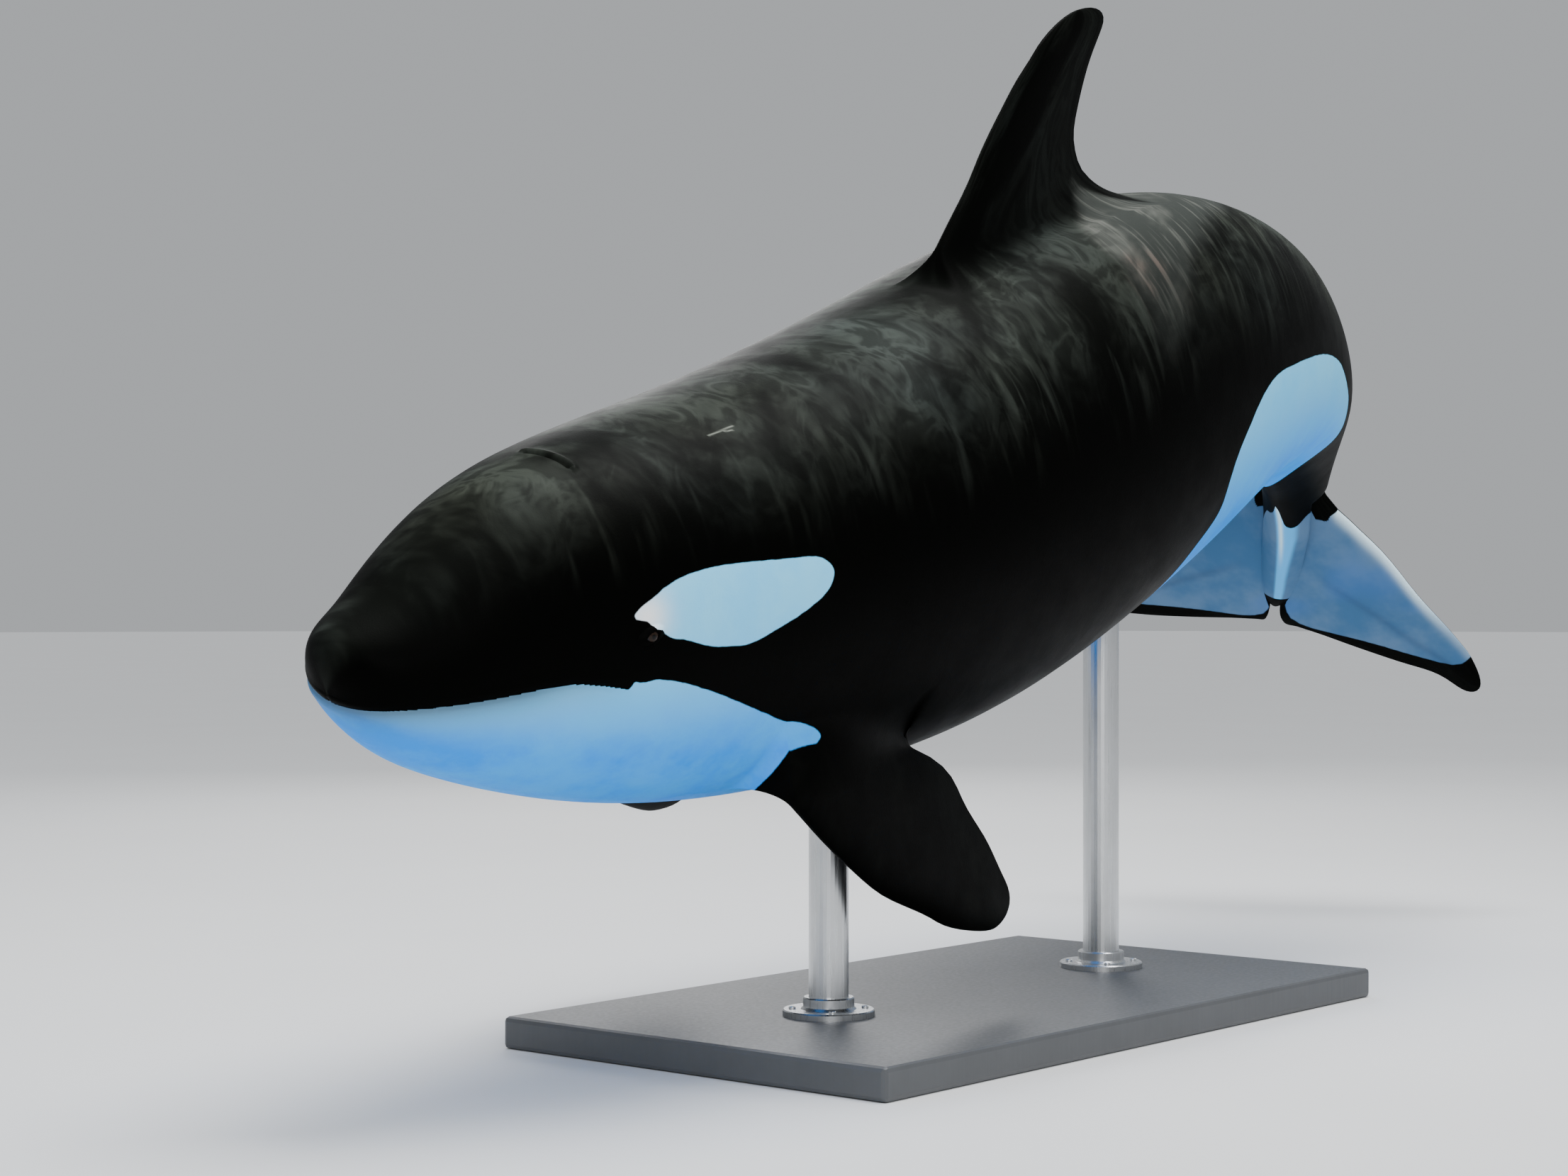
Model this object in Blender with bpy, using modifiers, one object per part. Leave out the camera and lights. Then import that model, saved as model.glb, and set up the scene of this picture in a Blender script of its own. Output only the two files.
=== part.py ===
"""A life-size orca in mid swim on a low display stand.

Metres, +Z up. The head points towards -X, the left side towards -Y, and the
origin is the middle of the underside of the stand's base. The body is a tube of
sections along a bent spine; the fin, flippers and flukes grow out of its side.
"""
import math

import bmesh
import bpy
import numpy as np
from mathutils import Matrix, Vector

LENGTH = 5.5            # from the mouth to the notch of the flukes
BODY_END = 0.9965       # share of the length where the tail's core ends
RINGS = 96
COLUMNS = 32
GAP = 0.0003            # clearance between neighbouring pieces

# The spine: turn, climb and roll in degrees at shares of the length from the mouth.
BEND_AT = (0.06, 0.28, 0.50, 0.74, 0.95)
TURN = (-2.6, 0.9, -0.4, 15.4, 40.5)
CLIMB = (12.8, 12.6, 19.5, -8.6, -46.1)
ROLL_AT = (0.0, 0.1, 0.45, 0.95, 1.1)
ROLL = (17.9, 17.9, 13.7, 20.8, 20.8)
ANCHOR_AT = 0.30
ANCHOR = (-0.56, 0.0, 1.27)

# Share of the length, height over the spine, depth below it, half width.
SECTIONS = (
    (0.000, 0.000, 0.000, 0.000),
    (0.006, 0.112, 0.071, 0.108),
    (0.020, 0.151, 0.159, 0.178),
    (0.031, 0.180, 0.206, 0.208),
    (0.045, 0.240, 0.252, 0.241),
    (0.080, 0.355, 0.343, 0.310),
    (0.125, 0.408, 0.432, 0.373),
    (0.190, 0.441, 0.513, 0.432),
    (0.280, 0.496, 0.565, 0.485),
    (0.380, 0.568, 0.582, 0.503),
    (0.480, 0.600, 0.553, 0.481),
    (0.580, 0.549, 0.517, 0.415),
    (0.680, 0.420, 0.410, 0.330),
    (0.780, 0.300, 0.281, 0.225),
    (0.870, 0.198, 0.180, 0.123),
    (0.930, 0.138, 0.120, 0.096),
    (0.975, 0.069, 0.062, 0.070),
    (1.000, 0.016, 0.016, 0.028),
)
KEEL_AT = (0.0, 0.55, 0.70, 0.85, 0.95, 1.0)
KEEL = (0.0, 0.0, 0.03, 0.07, 0.03, 0.0)
FOREHEAD_LEAN = 0.25    # how far the forehead leans over the mouth
FOREHEAD_REACH = 0.10
END_ROUNDING = 0.015    # share of the length that closes the tail's core

# Limbs: where they leave the body, then the leading and trailing edge in metres
# along the chord, and half the thickness, at shares of the span.
LIMB_LEVELS = 9
FILLET_SHARE = 1 / 3
LEVEL_EASE = 1.7        # how much closer the levels lie towards the tip
EDGE_ROUNDING, EDGE_TAPER = 0.006, 0.031
FOIL_PEAK = 0.3849
TIP_SHARE = 0.004       # how near the last level comes to the very tip
HEEL_FROM, HEEL_PULL = 0.6, 2.9
INNER_SHARE, INNER_TURN = 0.5, 0.6
DORSAL_FIN = {
    "name": "dorsal_fin", "side": 1, "holes": (0.372, 0.562), "columns": (-1, 1),
    "station": 0.46, "angle": None, "down": 0.0, "twist": 0.0, "swing": 0.0,
    "heel": 0.0, "span": (0.570, 1.135),
    "lead": ((0.0, -0.47), (0.14, -0.397), (0.26, -0.327), (0.37, -0.260), (0.48, -0.208),
             (0.58, -0.155), (0.68, -0.094), (0.78, -0.028), (0.87, 0.045), (1.0, 0.118)),
    "trail": ((0.0, 0.46), (0.12, 0.356), (0.23, 0.277), (0.32, 0.247), (0.42, 0.236),
              (0.54, 0.255), (0.66, 0.286), (0.78, 0.329), (0.88, 0.374), (1.0, 0.407)),
    "thick": ((0.0, 0.062), (0.2, 0.046), (0.5, 0.031), (0.8, 0.020), (1.0, 0.013)),
    "foot": 0.17, "close": 0.88, "tip": 0.25, "bend": 0.0,
}
FLIPPER = {
    "name": "flipper_left", "side": 1, "holes": (0.188, 0.282), "columns": (10, 13),
    "station": 0.24, "angle": 130.0, "down": 70.0, "twist": -8.0, "swing": 0.0,
    "heel": 0.0, "span": (0.0, 0.620),
    "lead": ((0.0, -0.345), (0.13, -0.273), (0.31, -0.168), (0.47, -0.059), (0.62, 0.063),
             (0.79, 0.256), (0.91, 0.372), (1.0, 0.468)),
    "trail": ((0.0, 0.13), (0.09, 0.260), (0.19, 0.380), (0.29, 0.457), (0.43, 0.509),
              (0.62, 0.598), (0.78, 0.658), (0.91, 0.708), (1.0, 0.736)),
    "thick": ((0.0, 0.062), (0.2, 0.052), (0.5, 0.036), (0.8, 0.022), (1.0, 0.012)),
    "foot": 0.12, "close": 0.83, "tip": 0.60, "bend": 0.03,
}
FLUKE = {
    "name": "fluke_left", "side": 1, "holes": (0.886, 0.9935), "columns": (5, 11),
    "station": 0.965, "angle": None, "down": 0.0, "twist": 0.0, "swing": 3.9,
    "heel": 1.0, "span": (0.0, 0.729),
    "lead": ((0.0, -0.45), (0.13, -0.400), (0.18, -0.335), (0.25, -0.285), (0.34, -0.229),
             (0.45, -0.160), (0.54, -0.090), (0.63, -0.013), (0.72, 0.054), (0.82, 0.124),
             (0.90, 0.185), (1.0, 0.255)),
    "trail": ((0.0, 0.20), (0.06, 0.240), (0.16, 0.262), (0.33, 0.285), (0.50, 0.306),
              (0.66, 0.320), (0.83, 0.342), (0.89, 0.365), (1.0, 0.395)),
    "thick": ((0.0, 0.052), (0.2, 0.044), (0.5, 0.029), (0.8, 0.016), (1.0, 0.008)),
    "foot": 0.11, "close": 0.90, "tip": 0.335, "bend": 0.035,
}
RIGHT_FLIPPER_TURN = {"down": 58.0, "twist": -10.0, "swing": -7.0}

# Mouth: height of the lip line over the spine at shares of the length, then the
# seam behind the corner of the mouth down to the throat.
LIP_AT = (0.0, 0.004, 0.012, 0.024, 0.038, 0.052, 0.064, 0.074, 0.082, 0.092, 0.098)
LIP_HEIGHT = (-0.024, -0.018, -0.010, -0.006, -0.003, 0.003, 0.009, 0.010, 0.003, -0.011, -0.020)
THROAT_SEAM = ((0.105, -0.060), (0.122, -0.240), (0.155, -0.800))
LIP_GROOVE = 0.007
LIP_FRONT, CHIN_FRONT = 0.0012, 0.0008
SEAM_REACH = 0.70
HEAD_MIDDLE = (0.12, 0.0, 0.1)
JAW_MIDDLE = (0.06, 0.0, -0.2)

EYE_AT = (0.1077, 76.8)
EYE_RADIUS = 0.026
EYE_DEPTH = 0.015
LID_SIZE = (0.042, 0.026, 0.010)
LID_STEP = 0.004
BLOWHOLE = ((0.1072, -10.5), (0.1080, -5.5), (0.1085, 0.0), (0.1087, 5.0), (0.1083, 9.8))
BLOWHOLE_GROOVE = 0.006

HEAD_END = 0.178
CHEST_END = 0.362
TRUNK_END = 0.600
STOCK_END = 0.880
FIN_LIFT = 0.035        # the fin's seam lies this far over the back
FLIPPER_LIFT = 0.030

BASE_SIZE = (2.2, 1.2, 0.08)
BASE_BEVEL = 0.012
ROD_RADIUS = 0.05
ROD_FRONT_AT = 0.30
ROD_REAR_AT = 0.53
ROD_SIDES = 32
ROD_CLEARANCE = 0.0008
ROD_DROP = 0.0005       # keeps the rods' tops clear of the belly
SHARP_EDGE = 40.0

BLACK = (0.012, 0.013, 0.014)
WHITE = (0.78, 0.83, 0.86)
COLOURS = {
    "eye_left": ((0.02, 0.012, 0.008), 0.08, 0.0),
    "eye_right": ((0.02, 0.012, 0.008), 0.08, 0.0),
    "lower_jaw": (WHITE, 0.35, 0.0),
    "stand_base": ((0.09, 0.095, 0.10), 0.5, 0.0),
    "stand_rod_front": ((0.62, 0.63, 0.64), 0.3, 1.0),
    "stand_rod_rear": ((0.62, 0.63, 0.64), 0.3, 1.0),
}


def natural_spline(xs, ys):
    """A smooth curve through the points, straight at both ends."""
    xs, ys = np.asarray(xs, float), np.asarray(ys, float)
    steps, count = np.diff(xs), len(xs)
    matrix, right = np.eye(count), np.zeros(ys.shape)
    for i in range(1, count - 1):
        matrix[i, i - 1:i + 2] = steps[i - 1], 2 * (steps[i - 1] + steps[i]), steps[i]
        right[i] = 6 * ((ys[i + 1] - ys[i]) / steps[i] - (ys[i] - ys[i - 1]) / steps[i - 1])
    bends = np.linalg.solve(matrix, right)

    def value(x):
        x = np.asarray(x, float)
        i = np.clip(np.searchsorted(xs, x) - 1, 0, count - 2)
        width = steps[i]
        a = (xs[i + 1] - x) / width
        b = 1 - a
        if ys.ndim > 1:
            a, b, width = a[..., None], b[..., None], width[..., None]
        cubic = ((a ** 3 - a) * bends[i] + (b ** 3 - b) * bends[i + 1]) * width ** 2 / 6
        return a * ys[i] + b * ys[i + 1] + cubic
    return value


turn_at = natural_spline(BEND_AT, TURN)
climb_at = natural_spline(BEND_AT, CLIMB)
roll_at = natural_spline(ROLL_AT, ROLL)
keel_at = natural_spline(KEEL_AT, KEEL)
table = np.array(SECTIONS)
size_at = natural_spline(np.sqrt(table[:, 0]), table[:, 1:])


def axes_at(x):
    """Directions to the tail, to the left and to the back at shares x."""
    held = np.clip(x, 0.0, 1.02)
    turn, climb = np.radians(turn_at(held)), np.radians(climb_at(held))
    roll = np.radians(roll_at(np.clip(x, 0.0, 1.1)))[..., None]
    tail = np.stack([np.cos(climb) * np.cos(turn), np.cos(climb) * np.sin(turn), np.sin(climb)], -1)
    flat = np.stack([np.sin(turn), -np.cos(turn), 0 * turn], -1)
    up = -np.cross(tail, flat)
    return tail, flat * np.cos(roll) - up * np.sin(roll), up * np.cos(roll) + flat * np.sin(roll)


walk = np.linspace(-0.03, 1.06, 437)
steps_along = axes_at(walk)[0] * (walk[1] - walk[0]) * LENGTH
spine = np.vstack([np.zeros(3), np.cumsum((steps_along[1:] + steps_along[:-1]) / 2, 0)])
spine += np.array(ANCHOR) - [np.interp(ANCHOR_AT, walk, spine[:, k]) for k in range(3)]


def spine_at(x):
    return np.stack([np.interp(x, walk, spine[:, k]) for k in range(3)], -1)


def place(x, across, up):
    """A point beside the spine: metres to the left and to the back at share x."""
    x, across, up = (np.asarray(a, float) for a in (x, across, up))
    tail, left, back = axes_at(x)
    return spine_at(x) + across[..., None] * left + up[..., None] * back


def body_point(x, angle):
    """The skin at share x; angle in degrees from the back over the left side."""
    x, turn = np.asarray(x, float), np.radians(angle)
    top, bottom, half = np.moveaxis(size_at(np.sqrt(np.clip(x, 0, 1))), -1, 0)
    late = np.clip((x - (BODY_END - END_ROUNDING)) / END_ROUNDING, 0, 1)
    closing = np.sqrt(1 - late ** 2)
    keel = keel_at(np.clip(x, 0, 1))
    up = (np.cos(turn) + keel * np.cos(3 * turn)) / (1 + keel) * closing
    up = up * np.where(up > 0, top, bottom)
    across = half * (np.sin(turn) - keel * np.sin(3 * turn)) / (1 + keel) * closing
    lean = FOREHEAD_LEAN * np.maximum(0, 1 - x / FOREHEAD_REACH) ** 2 * np.maximum(up, 0)
    return place(x - lean / LENGTH, across, up)


def skin_normal(x, angle):
    step = 1e-3
    along = body_point(x + step, angle) - body_point(x - step, angle)
    around = body_point(x, angle + 1) - body_point(x, angle - 1)
    normal = np.cross(around, along)
    normal = normal / np.linalg.norm(normal)
    return normal * np.sign(normal @ (body_point(x, angle) - spine_at(x)))


def limb_frame(limb):
    """Origin and the chord, across and span directions of a limb."""
    x = np.array(limb["station"])
    tail, left, back = axes_at(x)
    down, twist = math.radians(limb["down"]), math.radians(limb["twist"])
    if limb["name"] == "dorsal_fin":
        span = np.array([0.0, 0.0, 1.0])
    else:
        span = np.array([0.0, math.cos(down), -math.sin(down)])
    chord = np.array([1.0, 0.0, 0.0])
    chord = chord * math.cos(twist) + np.cross(chord, span) * math.sin(twist)
    across = -np.cross(chord, span)
    swing = math.radians(limb["swing"]) * limb["side"]
    chord, span = (chord * math.cos(swing) + span * math.sin(swing),
                   span * math.cos(swing) - chord * math.sin(swing))
    side = np.array([tail, left * limb["side"], back])
    origin = spine_at(x)
    if limb["angle"] is not None:
        origin = body_point(x, limb["angle"] * limb["side"])
    return origin, chord @ side, across @ side, span @ side


def foil(share):
    """Thickness along the chord, full at a third of it."""
    return np.sqrt(np.clip(share, 0, 1)) * (1 - share) / FOIL_PEAK


def limb_surface(limb, a, t, s):
    """a runs along the chord, t from one face to the other, s along the span."""
    origin, chord, across, span = limb["frame"]
    shut = np.clip((s - limb["close"]) / (1 - limb["close"]), 0, 1)
    shut = np.sqrt(1 - shut ** 2)
    share = 0.5 * (1 - np.cos(np.pi * a))
    share = EDGE_ROUNDING * t ** 2 + share * (1 - EDGE_TAPER * t ** 2)
    lead = limb["tip"] + (limb["lead_at"](s) - limb["tip"]) * shut
    trail = limb["tip"] + (limb["trail_at"](s) - limb["tip"]) * shut
    low, high = limb["span"]
    thick = limb["thick_at"](s) * shut
    out = low + (high - low) * s
    flat = (lead + (trail - lead) * share)[..., None] * chord + out[..., None] * span
    return origin + flat + (t * thick * foil(share) + limb["bend"] * s ** 2)[..., None] * across


def limb_point(limb, a, t, level, x_edge, angle_edge):
    """A limb's point: a fillet out of the body, then the limb itself."""
    share = np.asarray(level, float)
    later = np.clip((share - FILLET_SHARE) / (1 - FILLET_SHARE), 0, 1)
    s = limb["foot"] + (1 - limb["foot"]) * (1 - (1 - later) ** LEVEL_EASE)
    s = np.minimum(s, 1 - (1 - limb["close"]) * TIP_SHARE)
    surface = limb_surface(limb, a, t, s)
    foot = limb_surface(limb, a, t, np.full_like(s, limb["foot"]))
    above = limb_surface(limb, a, t, np.full_like(s, limb["foot"] + 0.01))
    rise = above - foot
    rise = rise / np.linalg.norm(rise, axis=-1, keepdims=True)
    edge = body_point(x_edge, angle_edge)
    inner_a = a + (0.5 - a) * INNER_SHARE
    x0, x1 = limb["holes"]
    middle = (limb["columns"][0] + limb["columns"][1]) * 180 / COLUMNS * limb["side"]
    inner = body_point(x0 + (x1 - x0) * inner_a, angle_edge + (middle - angle_edge) * INNER_TURN)
    reach = np.linalg.norm(foot - edge, axis=-1, keepdims=True)
    inward = inner - edge
    inward = inward / np.linalg.norm(inward, axis=-1, keepdims=True)
    heel = np.clip((a - HEEL_FROM) / (1 - HEEL_FROM), 0, 1)[..., None] * limb["heel"]
    inward = inward * (1 - heel) + limb["frame"][1] * heel * HEEL_PULL
    u = np.clip(share / FILLET_SHARE, 0, 1)[..., None]
    blend = ((2 * u ** 3 - 3 * u ** 2 + 1) * edge + (u ** 3 - 2 * u ** 2 + u) * inward * reach
             + (3 * u ** 2 - 2 * u ** 3) * foot + (u ** 3 - u ** 2) * rise * reach)
    return np.where((share > FILLET_SHARE)[..., None], surface, blend)


def ring_share(ring):
    return BODY_END * (1 - np.cos(np.pi * np.asarray(ring, float) / RINGS)) / 2


def prepare(limb, **changes):
    limb = {**limb, **changes}
    limb["frame"] = limb_frame(limb)
    for key in ("lead", "trail", "thick"):
        limb[key + "_at"] = natural_spline(*zip(*limb[key]))
    every = ring_share(np.arange(RINGS + 1))
    limb["rings"] = [int(np.argmin(abs(every - x))) for x in limb["holes"]]
    limb["holes"] = [float(every[r]) for r in limb["rings"]]
    return limb


LIMBS = [
    prepare(DORSAL_FIN),
    prepare(FLIPPER),
    prepare(FLIPPER, name="flipper_right", side=-1, **RIGHT_FLIPPER_TURN),
    prepare(FLUKE),
    prepare(FLUKE, name="fluke_right", side=-1),
]


def whole_animal():
    """One closed mesh of the body with its limbs, grown from a sphere."""
    mesh = bmesh.new()
    ring, column, level, owner = (
        mesh.verts.layers.int.new(n) for n in ("ring", "column", "level", "owner"))
    bmesh.ops.create_uvsphere(mesh, u_segments=COLUMNS, v_segments=RINGS, radius=1.0)
    for vert in mesh.verts:
        vert[ring] = round(math.acos(max(-1.0, min(1.0, vert.co.z))) / math.pi * RINGS)
        turn = round(math.atan2(vert.co.y, vert.co.x) / math.tau * COLUMNS)
        vert[column] = (turn + COLUMNS // 2) % COLUMNS - COLUMNS // 2
    for number, limb in enumerate(LIMBS, 1):
        first, last = limb["rings"]
        low, high = sorted(c * limb["side"] for c in limb["columns"])
        faces = [f for f in mesh.faces if all(
            v[level] == 0 and first <= v[ring] <= last and low <= v[column] <= high
            for v in f.verts)]
        for step in range(1, LIMB_LEVELS + 1):
            made = bmesh.ops.extrude_face_region(mesh, geom=faces)["geom"]
            bmesh.ops.delete(mesh, geom=faces, context="FACES")
            faces = [g for g in made if isinstance(g, bmesh.types.BMFace)]
            for vert in (g for g in made if isinstance(g, bmesh.types.BMVert)):
                vert[level], vert[owner] = step, number
    verts = list(mesh.verts)
    rings, columns, levels, owners = (
        np.array([v[layer] for v in verts], float) for layer in (ring, column, level, owner))
    x, angle = ring_share(rings), columns * 360 / COLUMNS
    points = body_point(x, angle)
    for number, limb in enumerate(LIMBS, 1):
        mine = owners == number
        a = (rings[mine] - limb["rings"][0]) / (limb["rings"][1] - limb["rings"][0])
        low, high = limb["columns"]
        t = (columns[mine] * limb["side"] - low) / (high - low) * 2 - 1
        points[mine] = limb_point(limb, a, t, levels[mine] / LIMB_LEVELS, x[mine], angle[mine])
    for vert, point in zip(verts, points):
        vert.co = point
    bmesh.ops.recalc_face_normals(mesh, faces=mesh.faces)
    return mesh


def keep_side(mesh, point, normal):
    """Cut the mesh flat, keep the side that the normal points away from, and close it."""
    normal = Vector(normal).normalized()
    cut = bmesh.ops.bisect_plane(
        mesh, geom=mesh.verts[:] + mesh.edges[:] + mesh.faces[:], dist=1e-6,
        plane_co=Vector(point) - normal * GAP / 2, plane_no=normal, clear_outer=True)
    edges = [g for g in cut["geom_cut"] if isinstance(g, bmesh.types.BMEdge)]
    bmesh.ops.edgeloop_fill(mesh, edges=edges)
    bmesh.ops.recalc_face_normals(mesh, faces=mesh.faces)


def split(mesh, point, normal):
    """Both closed halves of a mesh; the first lies where the normal points away from."""
    other = mesh.copy()
    keep_side(mesh, point, normal)
    keep_side(other, point, [-n for n in normal])
    return mesh, other


def add_object(name, mesh, collection):
    bmesh.ops.triangulate(mesh, faces=mesh.faces)
    data = bpy.data.meshes.new(name)
    mesh.to_mesh(data)
    mesh.free()
    made = bpy.data.objects.new(name, data)
    collection.objects.link(made)
    return made


def apply_modifiers(made):
    bpy.context.view_layer.update()
    graph = bpy.context.evaluated_depsgraph_get()
    data = bpy.data.meshes.new_from_object(made.evaluated_get(graph))
    made.modifiers.clear()
    made.data = data


def combine(made, other, operation):
    modifier = made.modifiers.new(operation.title(), "BOOLEAN")
    modifier.operation, modifier.object, modifier.solver = operation, other, "EXACT"
    apply_modifiers(made)
    mesh = bmesh.new()
    mesh.from_mesh(made.data)
    bmesh.ops.triangulate(mesh, faces=mesh.faces)
    mesh.to_mesh(made.data)
    mesh.free()


def islands(made, collection, names):
    """Split a mesh into its separate bodies, each named by the nearest point."""
    mesh = bmesh.new()
    mesh.from_mesh(made.data)
    left = set(mesh.verts)
    groups = []
    while left:
        group, queue = set(), [left.pop()]
        while queue:
            vert = queue.pop()
            group.add(vert)
            for edge in vert.link_edges:
                other = edge.other_vert(vert)
                if other in left:
                    left.discard(other)
                    queue.append(other)
        groups.append(group)
    groups.sort(key=len, reverse=True)
    found = {}
    for name, anchor in names.items():
        def distance(group):
            middle = sum((v.co for v in group), Vector()) / len(group)
            return (middle - Vector(anchor)).length
        found[name] = {v.index for v in min(groups[:len(names)], key=distance)}
    mesh.free()
    for name, keep in found.items():
        mesh = bmesh.new()
        mesh.from_mesh(made.data)
        mesh.verts.ensure_lookup_table()
        bmesh.ops.delete(mesh, geom=[v for v in mesh.verts if v.index not in keep], context="VERTS")
        add_object(name, mesh, collection)
    bpy.data.objects.remove(made)


def tube(name, points, radius, collection):
    """A round tube through the points, closed at both ends."""
    curve = bpy.data.curves.new(name, "CURVE")
    curve.dimensions = "3D"
    curve.bevel_depth, curve.bevel_resolution, curve.use_fill_caps = radius, 2, True
    line = curve.splines.new("POLY")
    line.points.add(len(points) - 1)
    for spot, point in zip(line.points, points):
        spot.co = (*point, 1.0)
    drawn = bpy.data.objects.new(name, curve)
    collection.objects.link(drawn)
    bpy.context.view_layer.update()
    graph = bpy.context.evaluated_depsgraph_get()
    data = bpy.data.meshes.new_from_object(drawn.evaluated_get(graph))
    bpy.data.objects.remove(drawn)
    mesh = bmesh.new()
    mesh.from_mesh(data)
    bmesh.ops.remove_doubles(mesh, verts=mesh.verts, dist=1e-5)
    bmesh.ops.recalc_face_normals(mesh, faces=mesh.faces)
    return add_object(name, mesh, collection)


def lip_angle(x):
    """Where the lip line meets the skin, in degrees from the back."""
    top, bottom, half = size_at(np.sqrt(x))
    height = float(lip_at(x))
    return math.degrees(math.acos(max(-1.0, min(1.0, height / (top if height > 0 else bottom)))))


def ball(name, middle, axes, sizes, collection, columns=24, rings=12):
    """An ellipsoid with its own axes; equal sizes make a sphere."""
    mesh = bmesh.new()
    turn = Matrix([list(a) for a in axes]).transposed().to_4x4()
    matrix = Matrix.Translation(Vector(middle)) @ turn @ Matrix.Diagonal((*sizes, 1.0))
    bmesh.ops.create_uvsphere(mesh, u_segments=columns, v_segments=rings, radius=1.0, matrix=matrix)
    bmesh.ops.recalc_face_normals(mesh, faces=mesh.faces)
    return add_object(name, mesh, collection)


for old in list(bpy.data.objects):
    bpy.data.objects.remove(old)
orca = bpy.data.collections.new("orca")
cutters = bpy.data.collections.new("cutters")
for collection in (orca, cutters):
    bpy.context.scene.collection.children.link(collection)

lip_at = natural_spline(LIP_AT, LIP_HEIGHT)
animal = whole_animal()
body_cutter = add_object("body_cutter", animal.copy(), cutters)

# The front and the rear half, then the limbs and the stretches between them.
front, rear = split(animal, spine_at(TRUNK_END), axes_at(np.array(TRUNK_END))[0])
for limb in LIMBS:
    if limb["name"].startswith("flipper"):
        angle = limb["angle"] * limb["side"]
        out = skin_normal(limb["station"], angle)
        seat = body_point(limb["station"], angle) + out * FLIPPER_LIFT
        front, piece = split(front, seat, out)
        add_object(limb["name"], piece, orca)
front, trunk = split(front, spine_at(CHEST_END), axes_at(np.array(CHEST_END))[0])
head, chest = split(front, spine_at(HEAD_END), axes_at(np.array(HEAD_END))[0])
add_object("chest", chest, orca)
heel, toe = (body_point(x, 0.0) for x in LIMBS[0]["holes"])
left_there, back_there = axes_at(np.array(DORSAL_FIN["station"]))[1:]
seam_out = np.cross(left_there, toe - heel)
seam_out = seam_out / np.linalg.norm(seam_out)
seam_out = seam_out * np.sign(seam_out @ back_there)
trunk, fin = split(trunk, heel + seam_out * FIN_LIFT, seam_out)
add_object("trunk", trunk, orca)
add_object("dorsal_fin", fin, orca)
stock, flukes = split(rear, spine_at(STOCK_END), axes_at(np.array(STOCK_END))[0])
add_object("tail_stock", stock, orca)
station = np.array(FLUKE["station"])
right, left = split(flukes, spine_at(station), axes_at(station)[1])
add_object("fluke_right", right, orca)
add_object("fluke_left", left, orca)

# The head: lids and eyes, blowhole, lips and the lower jaw.
whole_head = add_object("whole_head", head, orca)
for side, name in ((1, "left"), (-1, "right")):
    x, angle = EYE_AT[0], EYE_AT[1] * side
    out = skin_normal(x, angle)
    along = body_point(x + LID_STEP, angle) - body_point(x - LID_STEP, angle)
    along = along / np.linalg.norm(along)
    axes = (along, np.cross(out, along), out)
    skin = body_point(x, angle)
    lids = ball("lids_" + name, skin, axes, LID_SIZE, cutters)
    combine(whole_head, lids, "UNION")
    middle = skin - out * EYE_DEPTH
    socket = ball("socket_" + name, middle, axes, (EYE_RADIUS + GAP,) * 3, cutters)
    combine(whole_head, socket, "DIFFERENCE")
    ball("eye_" + name, middle, axes, (EYE_RADIUS,) * 3, orca)
slit = tube("blowhole", [body_point(x, a) for x, a in BLOWHOLE], BLOWHOLE_GROOVE, cutters)
combine(whole_head, slit, "DIFFERENCE")
lip_x = np.linspace(math.sqrt(LIP_AT[-1]), math.sqrt(LIP_FRONT), 18) ** 2
lips = [body_point(x, lip_angle(x)) for x in lip_x]
lips += [body_point(CHIN_FRONT, 180.0)]
lips += [body_point(x, -lip_angle(x)) for x in lip_x[::-1]]
groove = tube("lip_groove", lips, LIP_GROOVE, cutters)
combine(whole_head, groove, "DIFFERENCE")
seam_x = np.linspace(-0.025, LIP_AT[-1], 16)
seam = [(x, float(lip_at(max(x, 0.0)))) for x in seam_x] + list(THROAT_SEAM)
sheet = bmesh.new()
bmesh.ops.create_grid(sheet, x_segments=len(seam) - 1, y_segments=1, size=1.0)
for vert in sheet.verts:
    x, up = seam[round((vert.co.x + 1) / 2 * (len(seam) - 1))]
    vert.co = place(x, SEAM_REACH * vert.co.y, up)
seam_sheet = add_object("mouth_seam", sheet, cutters)
thickness = seam_sheet.modifiers.new("Solidify", "SOLIDIFY")
thickness.thickness, thickness.offset = GAP, 0.0
apply_modifiers(seam_sheet)
combine(whole_head, seam_sheet, "DIFFERENCE")
islands(whole_head, orca, {"head": place(*HEAD_MIDDLE), "lower_jaw": place(*JAW_MIDDLE)})

# The stand: a flat base and two rods whose tops follow the belly.
mesh = bmesh.new()
bmesh.ops.create_cube(mesh, size=1.0, matrix=Matrix.Translation((0, 0, BASE_SIZE[2] / 2))
                      @ Matrix.Diagonal((*BASE_SIZE, 1.0)))
base = add_object("stand_base", mesh, orca)
bevel = base.modifiers.new("Bevel", "BEVEL")
bevel.width, bevel.segments = BASE_BEVEL, 2
for name, x in (("front", ROD_FRONT_AT), ("rear", ROD_REAR_AT)):
    point = spine_at(x)
    low = BASE_SIZE[2] + ROD_CLEARANCE
    mesh = bmesh.new()
    bmesh.ops.create_cone(
        mesh, cap_ends=True, segments=ROD_SIDES, radius1=ROD_RADIUS, radius2=ROD_RADIUS,
        depth=point[2] - low, matrix=Matrix.Translation((point[0], point[1], (point[2] + low) / 2)))
    rod = add_object("stand_rod_" + name, mesh, orca)
    combine(rod, body_cutter, "DIFFERENCE")
    rod.location.z = -ROD_DROP

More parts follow.
